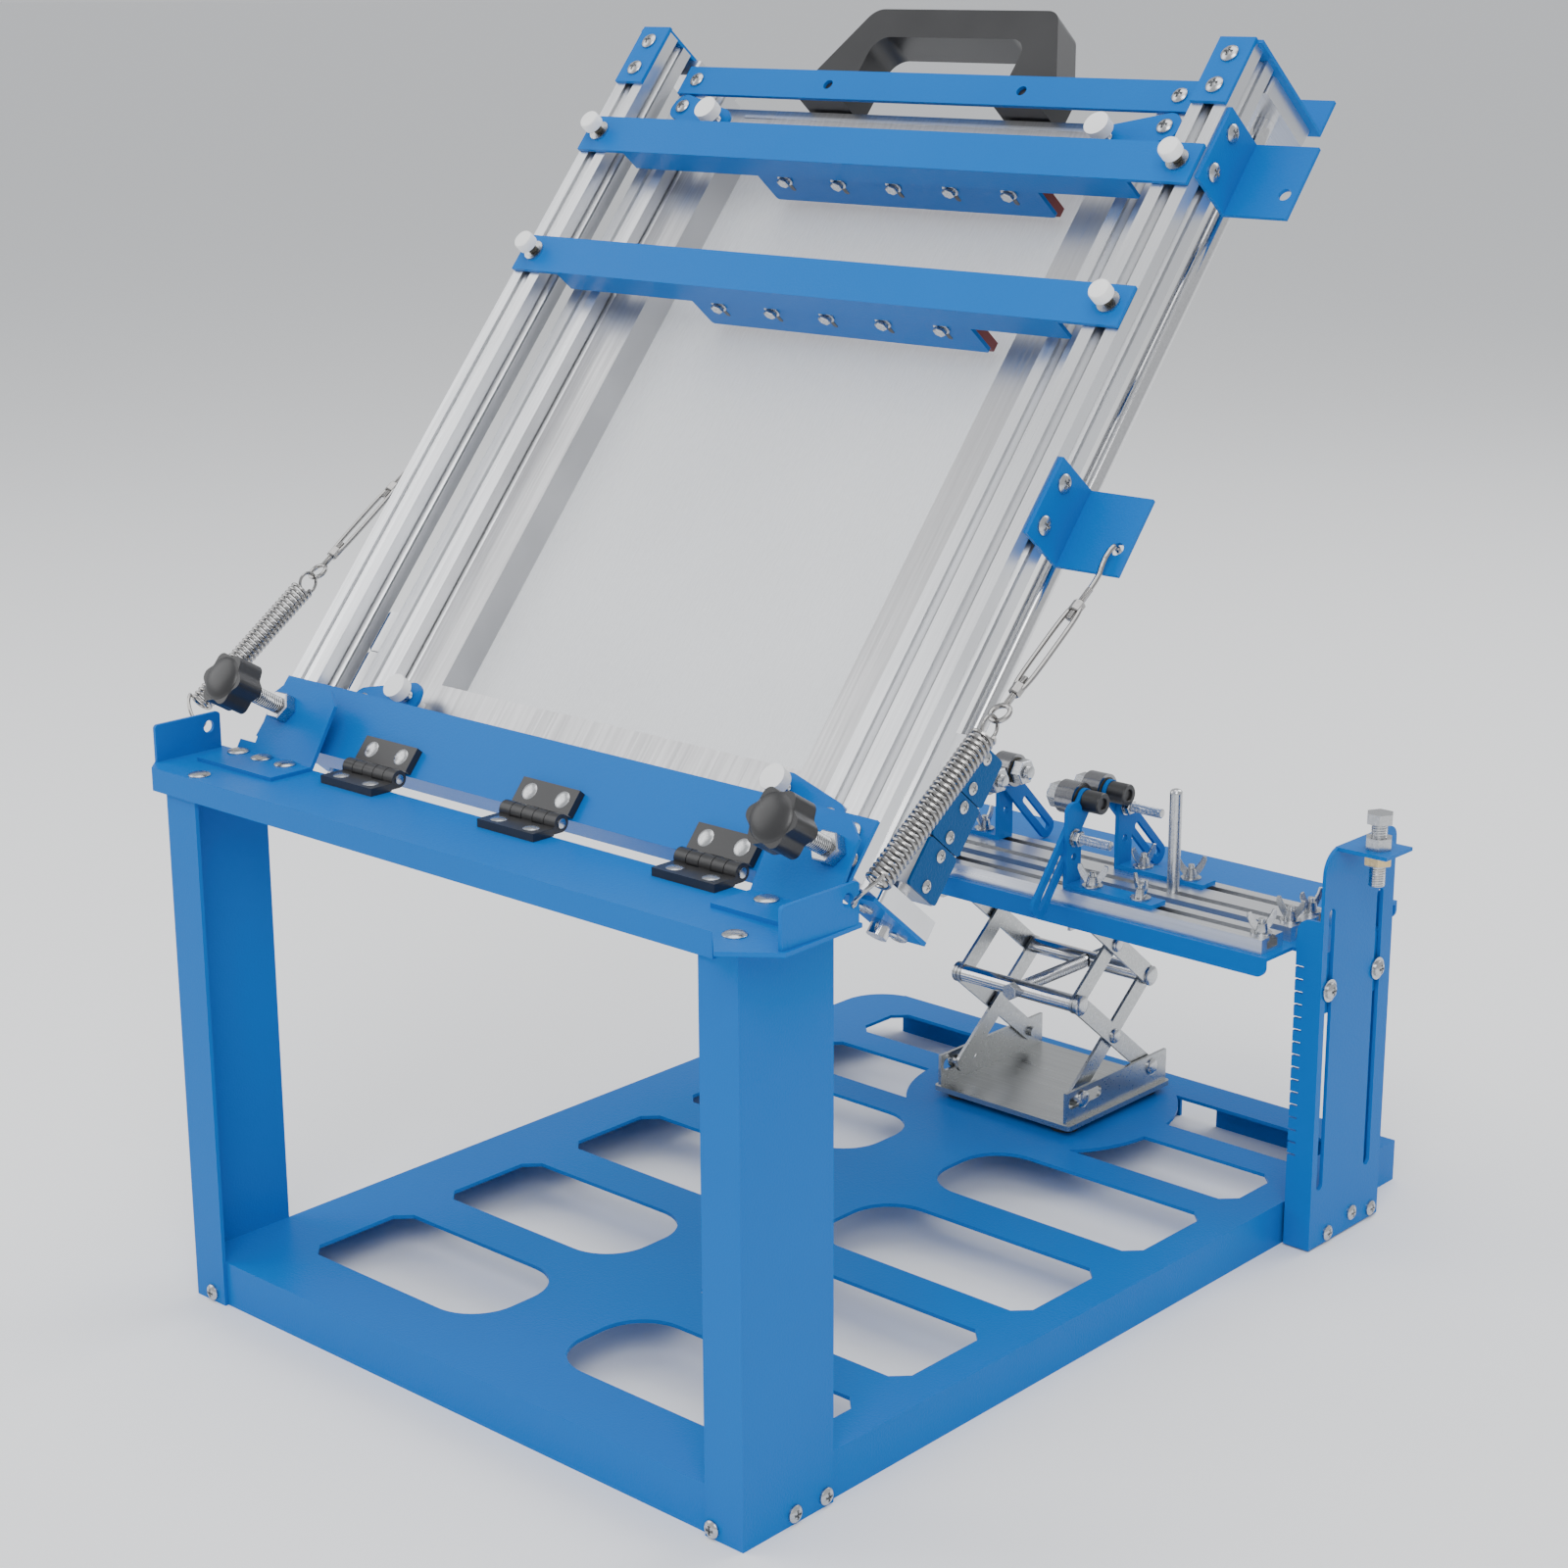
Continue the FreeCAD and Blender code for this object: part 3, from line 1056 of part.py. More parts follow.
# Top strip across the inner profiles, and the handle below it
top_strip = Piece("top_strip")
top_strip.add("z", -inner_drop, -inner_drop + sheet_steel,
              rect(-strip_half, strip_half, strip_start, strip_start + strip_width))
top_strip.cut("z", -inner_drop, -inner_drop + sheet_steel,
              *[circle(strip_hole_x * side, strip_start + strip_width / 2, strip_hole) for side in (-1, 1)])
keep(on_frame(top_strip))
handle = Piece("carry_handle")
handle_base = strip_start + strip_width
handle.add("z", -inner_drop - handle_depth, -inner_drop,
           poly((-handle_foot, strip_start), (-handle_open, strip_start),
                (-handle_open, handle_base + handle_rise - handle_bar, handle_round),
                (handle_open, handle_base + handle_rise - handle_bar, handle_round),
                (handle_open, strip_start), (handle_foot, strip_start),
                (handle_foot, handle_base), (handle_top, handle_base + handle_rise, handle_round),
                (-handle_top, handle_base + handle_rise, handle_round), (-handle_foot, handle_base)))
keep(on_frame(handle))


# Clamps that hold the screen: levers on the inner profiles and white-capped screws
def clamp_pair(side):
    """Pivot and screw places of the lower and the upper clamp on one side."""
    pivot, grip = inner_x * side, (inner_x - clamp_reach) * side
    return ((pivot, clamp_low, grip, clamp_low + clamp_step),
            (pivot, clamp_high, grip, clamp_high - clamp_step))


def clamp_lever(side):
    levers = []
    for number, spots in enumerate(clamp_pair(side)):
        lever = Piece(f"clamp_lever_{number}_{side + 1}")
        lever.add("z", -inner_drop, -inner_drop + clamp_thick, strip(*spots, clamp_half, clamp_half * 0.9))
        lever.cut("z", -inner_drop, -inner_drop + clamp_thick, circle(*spots[2:], clamp_screw + bearing_fit))
        levers.append(lever)
    return levers


both_sides("clamp_levers", clamp_lever)


def clamp_grip(side):
    screws = []
    for number, spots in enumerate(clamp_pair(side)):
        screw = Piece(f"clamp_screw_{number}_{side + 1}")
        cap_low = -inner_drop + clamp_thick + cap_rise
        screw.add("z", -screen_top, cap_low, circle(*spots[2:], clamp_screw))
        screw.add("z", cap_low, cap_low + cap_thick, circle(*spots[2:], cap_radius))
        screws.append(screw)
    return screws


both_sides("clamp_screws", clamp_grip)

# Work-holder tray with its lips and the tongue guided in the post
tray = Piece("holder_tray")
tray.add("z", tray_under, tray_top, rect(tray_left, tray_right, tray_front, tray_rear))
for low, high in ((tray_front, tray_front + sheet_steel), (tray_rear - sheet_steel, tray_rear)):
    tray.add("y", low, high, poly((tray_left, tray_top), (tray_right, tray_top),
                                  (tray_right, tray_top - tray_lip, tray_lip / 2),
                                  (tray_left, tray_top - tray_lip)))
tongue_front = post_front + sheet_steel + tongue_clear
tongue_rear = post_rear - sheet_steel - tongue_clear
tongue_end = post_inner - slide_gap
tray.add("z", tray_under, tray_top, rect(tray_right, tongue_end, tongue_front, tongue_rear))
tray.add("x", tongue_end - sheet_steel, tongue_end,
         rect(tongue_front, tongue_rear, tray_top - tongue_drop, tray_top))
keep(tray)


def slotted_rail(label, middle, width, slot_middles):
    """Flat aluminium rail with undercut slots, lying along the tray."""
    rail = Piece(label)
    rail.add("x", tray_left, rail_right, rect(middle - width / 2, middle + width / 2, tray_top, rail_top))
    rooms = [rect(slot - rail_room / 2, slot + rail_room / 2, tray_top + rail_floor, rail_top - rail_lip)
             for slot in slot_middles]
    rail.cut("x", tray_left, rail_right, *rooms)
    mouths = [rect(slot - rail_mouth / 2, slot + rail_mouth / 2, rail_top - rail_lip, rail_top)
              for slot in slot_middles]
    rail.cut("x", tray_left, rail_right, *mouths)
    keep(rail)


slotted_rail("front_rail", front_rail_y, front_rail_width, [front_rail_y])
slotted_rail("rear_rail", rear_rail_y, rear_rail_width,
             [rear_rail_y - rear_slot_step, rear_rail_y + rear_slot_step])

# Roller brackets with a foot and an upright, each with a slanted strap that carries a roller's screw
roller_z = rail_top + roller_rise
upright_half = upright_width / 2
upright_top = rail_top + upright_height
brackets = []
for column, side, inner in (("left", -1, left_bracket_x), ("right", 1, right_bracket_x)):
    for row, middle, axis_y, clamp_z in (
            ("front", front_rail_y, front_roller_y, rail_top + front_clamp_rise),
            ("rear", rear_rail_y + rear_slot_step, rear_roller_y, rail_top + rear_clamp_rise)):
        bracket = Piece(f"{column}_{row}_bracket")
        bracket.add("z", rail_top, rail_top + upright_thick,
                    rect(*span(side, inner, inner + upright_foot), middle - upright_half, middle + upright_half))
        bracket.add("x", *span(side, inner, inner + upright_thick),
                    poly((middle - upright_half, rail_top), (middle + upright_half, rail_top),
                         (middle + upright_half, upright_top, upright_half * 0.9),
                         (middle - upright_half, upright_top, upright_half * 0.9)))
        bracket.cut("x", *span(side, inner, inner + upright_thick),
                    circle(middle, rail_top + upright_hole_rise, strap_slot))
        run = run_length(middle - axis_y, clamp_z - roller_z)
        step_y, step_z = (middle - axis_y) / run, (clamp_z - roller_z) / run
        far_y, far_z = axis_y + step_y * strap_length, roller_z + step_z * strap_length
        strap = span(side, inner - upright_thick, inner)
        bracket.add("x", *strap, strip(axis_y, roller_z, far_y, far_z, upright_half, upright_half * 0.9))
        bracket.cut("x", *strap, strip(axis_y + step_y * strap_slot_start, roller_z + step_z * strap_slot_start,
                                       far_y, far_z, strap_slot, strap_slot * 0.9))
        bracket.add("x", *span(side, inner - upright_thick, inner + clamp_bolt_length),
                    circle(middle, clamp_z, clamp_bolt))
        bolt_end = inner - upright_thick - roller_gap * 2 - roller_width
        bracket.add("x", *span(side, bolt_end, inner), circle(axis_y, roller_z, roller_bolt))
        bracket.add("x", *span(side, inner, inner + roller_cap_length), circle(axis_y, roller_z, roller_cap))
        bracket.add("x", *span(side, bolt_end - roller_nut_thick, bolt_end),
                    hexagon(axis_y, roller_z, roller_nut))
        brackets.append(bracket)
        roller = Piece(f"{column}_{row}_roller")
        roller.add("x", *span(side, bolt_end + roller_gap, bolt_end + roller_gap + roller_width),
                   circle(axis_y, roller_z, roller_radius), circle(axis_y, roller_z, roller_bolt + roller_fit))
        keep(roller)
keep(group("roller_brackets", brackets))
stop_rod = Piece("stop_rod")
stop_rod.add("z", rail_top, rail_top + stop_rod_height,
             circle(stop_rod_x, rear_rail_y - rear_slot_step, stop_rod_radius))
keep(stop_rod)

# Lifting jack: plates with side angles, fixed pins at the rear and slots at the front
jack_half = jack_side / 2
angle_out = jack_half - jack_angle_inset
angle_in = angle_out - jack_angle_thick
outer_arm = (angle_in - arm_gap - arm_thick, angle_in - arm_gap)
inner_arm = (outer_arm[0] - arm_gap - arm_thick, outer_arm[0] - arm_gap)


def jack_plate_with_angles(label, plate_low, angle_low, angle_high, pivot):
    """Square jack plate with an angle at each side, drawn about the jack's middle."""
    plate = Piece(label)
    plate.add("z", plate_low, plate_low + jack_plate,
              rect(-jack_half, jack_half, jack_y - jack_half, jack_y + jack_half, jack_angle_inset))
    for side in (-1, 1):
        plate.add("x", *span(side, angle_in, angle_out),
                  rect(jack_y - jack_half + jack_angle_inset / 3, jack_y + jack_half - jack_angle_inset / 3,
                       angle_low, angle_high))
        slot_half = arm_pin + open_fit
        plate.cut("x", *span(side, angle_in, angle_out),
                  oblong(jack_slot_front - slot_half, jack_slot_rear + slot_half, pivot - slot_half,
                         pivot + slot_half, slot_half))
        plate.add("x", *span(side, inner_arm[0], angle_out), circle(fixed_y, pivot, arm_pin))
    keep(place(plate, base_x=jack_x))


jack_low = base_height + jack_foot
jack_plate_with_angles("jack_base", jack_low, jack_floor, jack_floor + jack_angle_height, lower_pivot)
jack_top_low = tray_under - jack_plate
jack_plate_with_angles("jack_top_plate", jack_top_low, jack_top_low - jack_angle_drop, jack_top_low,
                       upper_pivot)
feet = []
for number, (across, along) in enumerate(((-1, -1), (-1, 1), (1, -1), (1, 1))):
    foot = Piece(f"jack_foot_{number}")
    reach = jack_half - jack_foot_radius * 1.5
    foot.add("z", base_height, jack_low, circle(jack_x + reach * across, jack_y + reach * along,
                                                jack_foot_radius))
    feet.append(foot)
keep(group("jack_feet", feet))


def jack_arms(label, layer, start, end, pins, holes):
    """Pair of jack arms in one layer, with pins reaching into others and holes for their pins."""
    arms = []
    for side in (-1, 1):
        arm = Piece(f"{label}_{side + 1}")
        arm.add("x", *span(side, *layer), strip(*start, *end, arm_half, arm_half * 0.9))
        for (y, z), radius in holes:
            arm.cut("x", *span(side, *layer), circle(y, z, radius))
        for (y, z), near, far in pins:
            arm.add("x", *span(side, near, far), circle(y, z, arm_pin))
        arms.append(arm)
    keep(place(group(label, arms), base_x=jack_x))


middle_y = (fixed_y + sliding_y) / 2
lower_middle = (middle_y, (lower_pivot + knee_z) / 2)
upper_middle = (middle_y, (knee_z + upper_pivot) / 2)
front_knee, rear_knee = (sliding_y, knee_z), (fixed_y, knee_z)
low_fixed, low_sliding = (fixed_y, lower_pivot), (sliding_y, lower_pivot)
top_fixed, top_sliding = (fixed_y, upper_pivot), (sliding_y, upper_pivot)
pin_hole, rod_hole, open_hole = arm_pin + pin_fit, cross_rod + pin_fit, cross_rod + open_fit
arm_far = outer_arm[1]
jack_arms("jack_lower_arms", outer_arm, low_fixed, front_knee,
          [(lower_middle, inner_arm[0], outer_arm[0])],
          [(low_fixed, pin_hole), (front_knee, rod_hole)])
jack_arms("jack_crossed_arms", inner_arm, low_sliding, rear_knee,
          [(low_sliding, inner_arm[1], angle_out + arm_thick)],
          [(lower_middle, pin_hole), (rear_knee, rod_hole)])
jack_arms("jack_upper_arms_a", inner_arm, front_knee, top_fixed,
          [(upper_middle, inner_arm[1], arm_far)],
          [(front_knee, rod_hole), (top_fixed, pin_hole)])
jack_arms("jack_upper_arms_b", outer_arm, rear_knee, top_sliding,
          [(top_sliding, outer_arm[1], angle_out + arm_thick)],
          [(rear_knee, open_hole), (upper_middle, pin_hole)])

# Cross rods at the jack's knees, and the screw spindle through them
spindle = Piece("jack_spindle")
spindle.add("x", -arm_far, arm_far, circle(*front_knee, cross_rod))
spindle.add("y", sliding_y - jack_spindle_front, sliding_y + jack_spindle_length,
            circle(0, knee_z, jack_spindle))
keep(place(spindle, base_x=jack_x))
rear_rod = Piece("jack_rear_rod")
rear_rod.add("x", -arm_far, arm_far, circle(*rear_knee, cross_rod))
rear_rod.cut("y", fixed_y - cross_rod, fixed_y + cross_rod, circle(0, knee_z, jack_spindle + open_fit))
keep(place(rear_rod, base_x=jack_x))

# Counterbalance springs with a turnbuckle each, drawn along their own line
for side, name in ((-1, "left"), (1, "right")):
    coil = Piece(f"{name}_spring_coil")
    middle = spring_x * side
    tab_face = -table_left if side < 0 else table_right
    coil_end = spring_start + spring_length
    coil.add("y", spring_start, coil_end, circle(middle, 0, spring_radius),
             circle(middle, 0, spring_radius - spring_wire))
    coil.add("y", spring_start, spring_start + spring_wire, circle(middle, 0, spring_radius))
    coil.add("y", 0, spring_start, circle(middle, 0, link_wire))
    coil.add("x", *span(side, tab_face - sheet_steel * 2, spring_x), circle(0, 0, link_wire))
    keep(place(coil, base_y=tab_hole_y, base_z=tab_hole_z, angle=spring_angle))
    buckle = Piece(f"{name}_turnbuckle")
    buckle_end = buckle_start + buckle_length
    buckle.add("y", coil_end - link_tail, buckle_start, circle(middle, 0, link_wire))
    buckle.add("z", -buckle_half, buckle_half,
               rect(middle - buckle_half, middle + buckle_half, buckle_start, buckle_end),
               rect(middle - buckle_half + buckle_bar, middle + buckle_half - buckle_bar,
                    buckle_start + buckle_half, buckle_end - buckle_half))
    bend = spring_reach - hook_bend
    buckle.add("y", buckle_end, bend, circle(middle, 0, link_wire))
    buckle.add("z", -link_wire / 2, hook_lift + link_wire / 2, circle(middle, bend, link_wire * hook_taper))
    buckle.add("y", bend, spring_reach, circle(middle, hook_lift, link_wire))
    buckle.add("z", -hook_out, hook_lift + link_wire / 2,
               circle(middle, spring_reach, link_wire * hook_taper))
    keep(place(buckle, base_y=tab_hole_y, base_z=tab_hole_z, angle=spring_angle))

# Recompute, check every object and write the sub-parts
doc.recompute()
for item in doc.Objects:
    bad = [state for state in item.State if state in ("Invalid", "Error")]
    if bad:
        raise ValueError(f"{item.Label}: {bad}")
os.makedirs("parts", exist_ok=True)
for node in nodes:
    solid = node.body if isinstance(node, Piece) else node
    if solid.Shape.isNull() or not solid.Shape.isValid():
        raise ValueError(f"{solid.Label}: shape is not valid")
    solid.Shape.exportStep(f"parts/{solid.Label}.step")
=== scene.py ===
import logging
import math
from dataclasses import dataclass, field
from enum import Enum
from typing import Iterable, Sequence

import bpy
import numpy as np
from mathutils import Matrix, Vector


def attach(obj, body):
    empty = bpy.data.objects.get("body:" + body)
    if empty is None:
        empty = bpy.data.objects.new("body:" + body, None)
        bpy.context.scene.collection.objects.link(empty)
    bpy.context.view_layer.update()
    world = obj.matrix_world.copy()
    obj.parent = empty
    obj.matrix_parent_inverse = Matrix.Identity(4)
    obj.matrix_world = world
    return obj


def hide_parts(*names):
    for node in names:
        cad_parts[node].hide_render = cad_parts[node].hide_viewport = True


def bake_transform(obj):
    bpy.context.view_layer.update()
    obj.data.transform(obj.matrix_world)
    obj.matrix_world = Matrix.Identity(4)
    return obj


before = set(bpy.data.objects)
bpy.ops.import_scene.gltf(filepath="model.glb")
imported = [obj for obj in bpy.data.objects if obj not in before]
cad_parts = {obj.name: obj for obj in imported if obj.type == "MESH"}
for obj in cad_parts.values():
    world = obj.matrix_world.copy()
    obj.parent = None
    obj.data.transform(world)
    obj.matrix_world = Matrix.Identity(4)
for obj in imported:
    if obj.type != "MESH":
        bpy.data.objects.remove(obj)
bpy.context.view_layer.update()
log = logging.getLogger("press")
MM = 0.001
Array = np.ndarray
Pair = tuple[float, float]
Triple = tuple[float, float, float]


# Places and directions, in millimetres


@dataclass(frozen=True)
class Place:
    """A local frame: an origin in mm and three unit directions.

    A point (a, b, c) lies at origin + a * x + b * y + c * z.
    """

    origin: Triple = (0.0, 0.0, 0.0)
    x: Triple = (1.0, 0.0, 0.0)
    y: Triple = (0.0, 1.0, 0.0)
    z: Triple = (0.0, 0.0, 1.0)

    def points(self, local: Array) -> Array:
        """Carry local points in mm into the row frame in mm."""
        axes = np.array([self.x, self.y, self.z], float)
        return np.asarray(local, float) @ axes + np.array(self.origin, float)

    def at(self, a: float, b: float, c: float) -> "Place":
        """Return the same directions about another local point."""
        return Place(tuple(self.points(np.array([a, b, c]))), self.x, self.y, self.z)

    def turned(self, axis: str) -> "Place":
        """Turn the frame until its z points along another of its signed axes.

        Args:
            axis: "+x", "-x", "+y", "-y", "+z" or "-z".

        Returns:
            The turned frame, about the same origin.
        """
        x, y, z = (np.array(side, float) for side in (self.x, self.y, self.z))
        new_z = {"x": x, "y": y, "z": z}[axis[1]] * (1.0 if axis[0] == "+" else -1.0)
        new_x = {"x": y, "y": z, "z": x}[axis[1]]
        new_y = np.cross(new_z, new_x)
        return Place(self.origin, tuple(new_x), tuple(new_y), tuple(new_z))


def tilted(y: float, z: float, angle: float) -> Place:
    """Lay a frame on the middle plane and tilt it about x.

    Args:
        y: place from the front.
        z: height.
        angle: rise of its y from level, in radians.

    Returns:
        The tilted frame.
    """
    c, s = math.cos(angle), math.sin(angle)
    return Place((0.0, y, z), (1.0, 0.0, 0.0), (0.0, c, s), (0.0, -s, c))


def outward(side: int) -> str:
    """Axis that points away from the middle plane on a side, -1 left or 1 right."""
    return "+x" if side > 0 else "-x"


SIDES = (-1, 1)
TILT = math.radians(50.0)
GROUND = Place()
LEAN = tilted(54.0, 290.0, TILT)
EAR = tilted(47.0, 285.0, math.radians(59.0))
PROFILE_X = 190.0
HINGE_MIDDLES = (-99.0, 15.0, 129.0)
HINGE_STEPS = (-11.0, 11.0)
STOPS = {"left": -172.0, "right": 196.0}
STOP_RISE = 26.5


# Shapes, each a grid of two parameters or a profile carried along a path


def once_round(steps: int) -> Array:
    """Even angles once round, without the last."""
    return np.linspace(0.0, 2.0 * math.pi, steps, endpoint=False)


@dataclass
class Shape:
    """Vertices in mm and faces gathered for one piece."""

    parts: list[tuple[Array, list[tuple[int, ...]]]] = field(default_factory=list)
    count: int = 0

    def grid(self, points: Array, loop_u: bool = False, loop_v: bool = False,
             caps: bool = False) -> "Shape":
        """Add a grid of points as quads.

        Args:
            points: array (rows, columns, 3).
            loop_u: join the last row to the first.
            loop_v: join the last column to the first.
            caps: close the first and the last row with one face each.

        Returns:
            This shape.
        """
        rows, columns = points.shape[:2]
        index = self.count + np.arange(rows * columns).reshape(rows, columns)
        ends = [tuple(index[0].tolist())[::-1], tuple(index[-1].tolist())] if caps else []
        if loop_u:
            index = np.vstack([index, index[:1]])
        if loop_v:
            index = np.hstack([index, index[:, :1]])
        quads = np.stack([index[:-1, :-1], index[:-1, 1:], index[1:, 1:], index[1:, :-1]], -1)
        faces = [tuple(face) for face in quads.reshape(-1, 4).tolist()]
        self.parts.append((points.reshape(-1, 3), faces + ends))
        self.count += rows * columns
        return self

    def lathe(self, place: Place, profile: Sequence[Pair], sides: int = 24) -> "Shape":
        """Turn a profile about the z of a place and close its ends.

        x = r cos t, y = r sin t, z = h, with t once round.

        Args:
            place: where it stands.
            profile: (radius, height) from the lower end to the upper.
            sides: faces round.

        Returns:
            This shape.
        """
        r, h = np.array(profile, float).T
        t = once_round(sides)
        local = np.stack([r[:, None] * np.cos(t), r[:, None] * np.sin(t),
                          np.repeat(h[:, None], sides, 1)], -1)
        return self.grid(place.points(local), loop_v=True, caps=True)

    def prism(self, place: Place, outline: Array, low: float, high: float,
              bevel: float = 0.0) -> "Shape":
        """Push an outline along z, its rims drawn in by a bevel.

        Each ring is the outline scaled about its middle, at one height.

        Args:
            place: where it stands.
            outline: (x, y) of its corners.
            low: lower height.
            high: upper height.
            bevel: how far the rims are drawn in.

        Returns:
            This shape.
        """
        outline = np.asarray(outline, float)
        middle = outline.mean(0)
        reach = np.abs(outline - middle).max()
        small = 1.0 - bevel / reach
        rings = [(small, low), (1.0, low + bevel), (1.0, high - bevel), (small, high)] if bevel \
            else [(1.0, low), (1.0, high)]
        local = np.stack([np.hstack([middle + (outline - middle) * scale,
                                     np.full((len(outline), 1), level)]) for scale, level in rings])
        return self.grid(place.points(local), loop_v=True, caps=True)

    def tube(self, path: Array, radius: float, across: Sequence[float] = (0.0, 0.0, 1.0),
             closed: bool = False) -> "Shape":
        """Carry a circle along a path.

        Each ring lies across the tangent: p + r (cos t * n + sin t * b), where b is the
        tangent crossed with a fixed direction and n closes the set.

        Args:
            path: points in mm.
            radius: the circle's.
            across: the fixed direction.
            closed: whether the path's end joins its start.

        Returns:
            This shape.
        """
        path = np.asarray(path, float)
        if closed:
            tangent = np.roll(path, -1, 0) - np.roll(path, 1, 0)
        else:
            tangent = np.gradient(path, axis=0)
        tangent /= np.linalg.norm(tangent, axis=1)[:, None]
        side = np.cross(tangent, np.asarray(across, float))
        side /= np.linalg.norm(side, axis=1)[:, None]
        normal = np.cross(side, tangent)
        t = once_round(8)
        rings = path[:, None] + radius * (np.cos(t)[None, :, None] * normal[:, None]
                                          + np.sin(t)[None, :, None] * side[:, None])
        return self.grid(rings, loop_u=closed, loop_v=True, caps=not closed)

    def screw_head(self, place: Place, radius: float, height: float, cross: bool = True) -> "Shape":
        """Add a domed screw head.

        On a polar grid, z = h * sqrt(1 - 0.85 (r / R)^2) less a recess where the point lies
        within one of two bars through the middle.

        Args:
            place: its seat.
            radius: radius of the head.
            height: height of the dome.
            cross: whether it has the recess.

        Returns:
            This shape.
        """
        t = once_round(48)
        share = np.array([0.02, 0.12, 0.2, 0.3, 0.4, 0.5, 0.56, 0.7, 0.85, 0.95, 1.0])[::-1]
        r = share[:, None] * radius
        x, y = r * np.cos(t), r * np.sin(t)
        z = height * np.sqrt(np.clip(1.0 - 0.85 * (r / radius) ** 2, 0.0, 1.0)) + 0 * x
        if cross:
            bar, reach, deep = radius * 0.13, radius * 0.53, height * 0.55
            z = z - (((np.abs(x) < bar) | (np.abs(y) < bar)) & (r < reach)) * deep
        skirt = np.stack([x[:1], y[:1], 0 * x[:1]], -1)
        local = np.vstack([skirt, np.stack([x, y, z], -1)])
        return self.grid(place.points(local), loop_v=True, caps=True)

    def thread(self, place: Place, radius: float, low: float, high: float,
               pitch: float = 1.4) -> "Shape":
        """Add a threaded rod along z, drawn in at both ends.

        r = R - d (1 - cos(2 pi h / p - t)) / 2, with a groove depth d of 0.45 p.

        Args:
            place: where it stands.
            radius: outer radius.
            low: lower height.
            high: upper height.
            pitch: rise of the groove in one turn.

        Returns:
            This shape.
        """
        height = np.linspace(low, high, int(6 * (high - low) / pitch))[:, None]
        t = once_round(18)
        r = radius - 0.225 * pitch * (1.0 - np.cos(2.0 * math.pi * height / pitch - t))
        r[0], r[-1] = radius * 0.8, radius * 0.8
        local = np.stack([r * np.cos(t), r * np.sin(t), height + 0 * t], -1)
        return self.grid(place.points(local), loop_v=True, caps=True)

    def arrays(self) -> tuple[Array, list[tuple[int, ...]]]:
        """Return all vertices in metres and all faces."""
        points = np.vstack([part[0] for part in self.parts]) * MM
        return points, [face for part in self.parts for face in part[1]]


def hexagon(flats: float) -> Array:
    """Outline of a regular hexagon from its width across flats."""
    t = np.radians(np.arange(0.0, 360.0, 60.0))
    return np.stack([np.cos(t), np.sin(t)], -1) * flats / math.sqrt(3.0)


def oblong(radius: float, half: float) -> Array:
    """Outline of a slot along x: a circle whose two halves are moved apart."""
    t = np.radians(np.arange(0.0, 360.0, 15.0))
    return np.stack([radius * np.cos(t), radius * np.sin(t) + half * np.sign(np.sin(t))], -1)[:, ::-1]


def box_outline(half_x: float, half_y: float) -> Array:
    """Outline of a rectangle about the origin."""
    return np.array([(-half_x, -half_y), (half_x, -half_y), (half_x, half_y), (-half_x, half_y)], float)


# Shader maths


class Value:
    """A value socket of a material, on which arithmetic adds Math nodes."""

    def __init__(self, tree: "Nodes", socket: bpy.types.NodeSocket) -> None:
        """Keep the tree and the socket."""
        self.tree, self.socket = tree, socket

    def _math(self, operation: str, *values: "Value | float") -> "Value":
        """Add a Math node."""
        return self.tree.node("ShaderNodeMath", {"operation": operation}, dict(enumerate(values)))

    def __add__(self, other: "Value | float") -> "Value":
        """Sum."""
        return self._math("ADD", self, other)

    def __sub__(self, other: "Value | float") -> "Value":
        """Difference."""
        return self._math("SUBTRACT", self, other)

    def __rsub__(self, other: float) -> "Value":
        """Difference from a number."""
        return self._math("SUBTRACT", other, self)

    def __mul__(self, other: "Value | float") -> "Value":
        """Product."""
        return self._math("MULTIPLY", self, other)

    __radd__ = __add__
    __rmul__ = __mul__

    def clamp(self) -> "Value":
        """Limit to between 0 and 1."""
        return self.tree.node("ShaderNodeClamp", {}, {"Value": self})


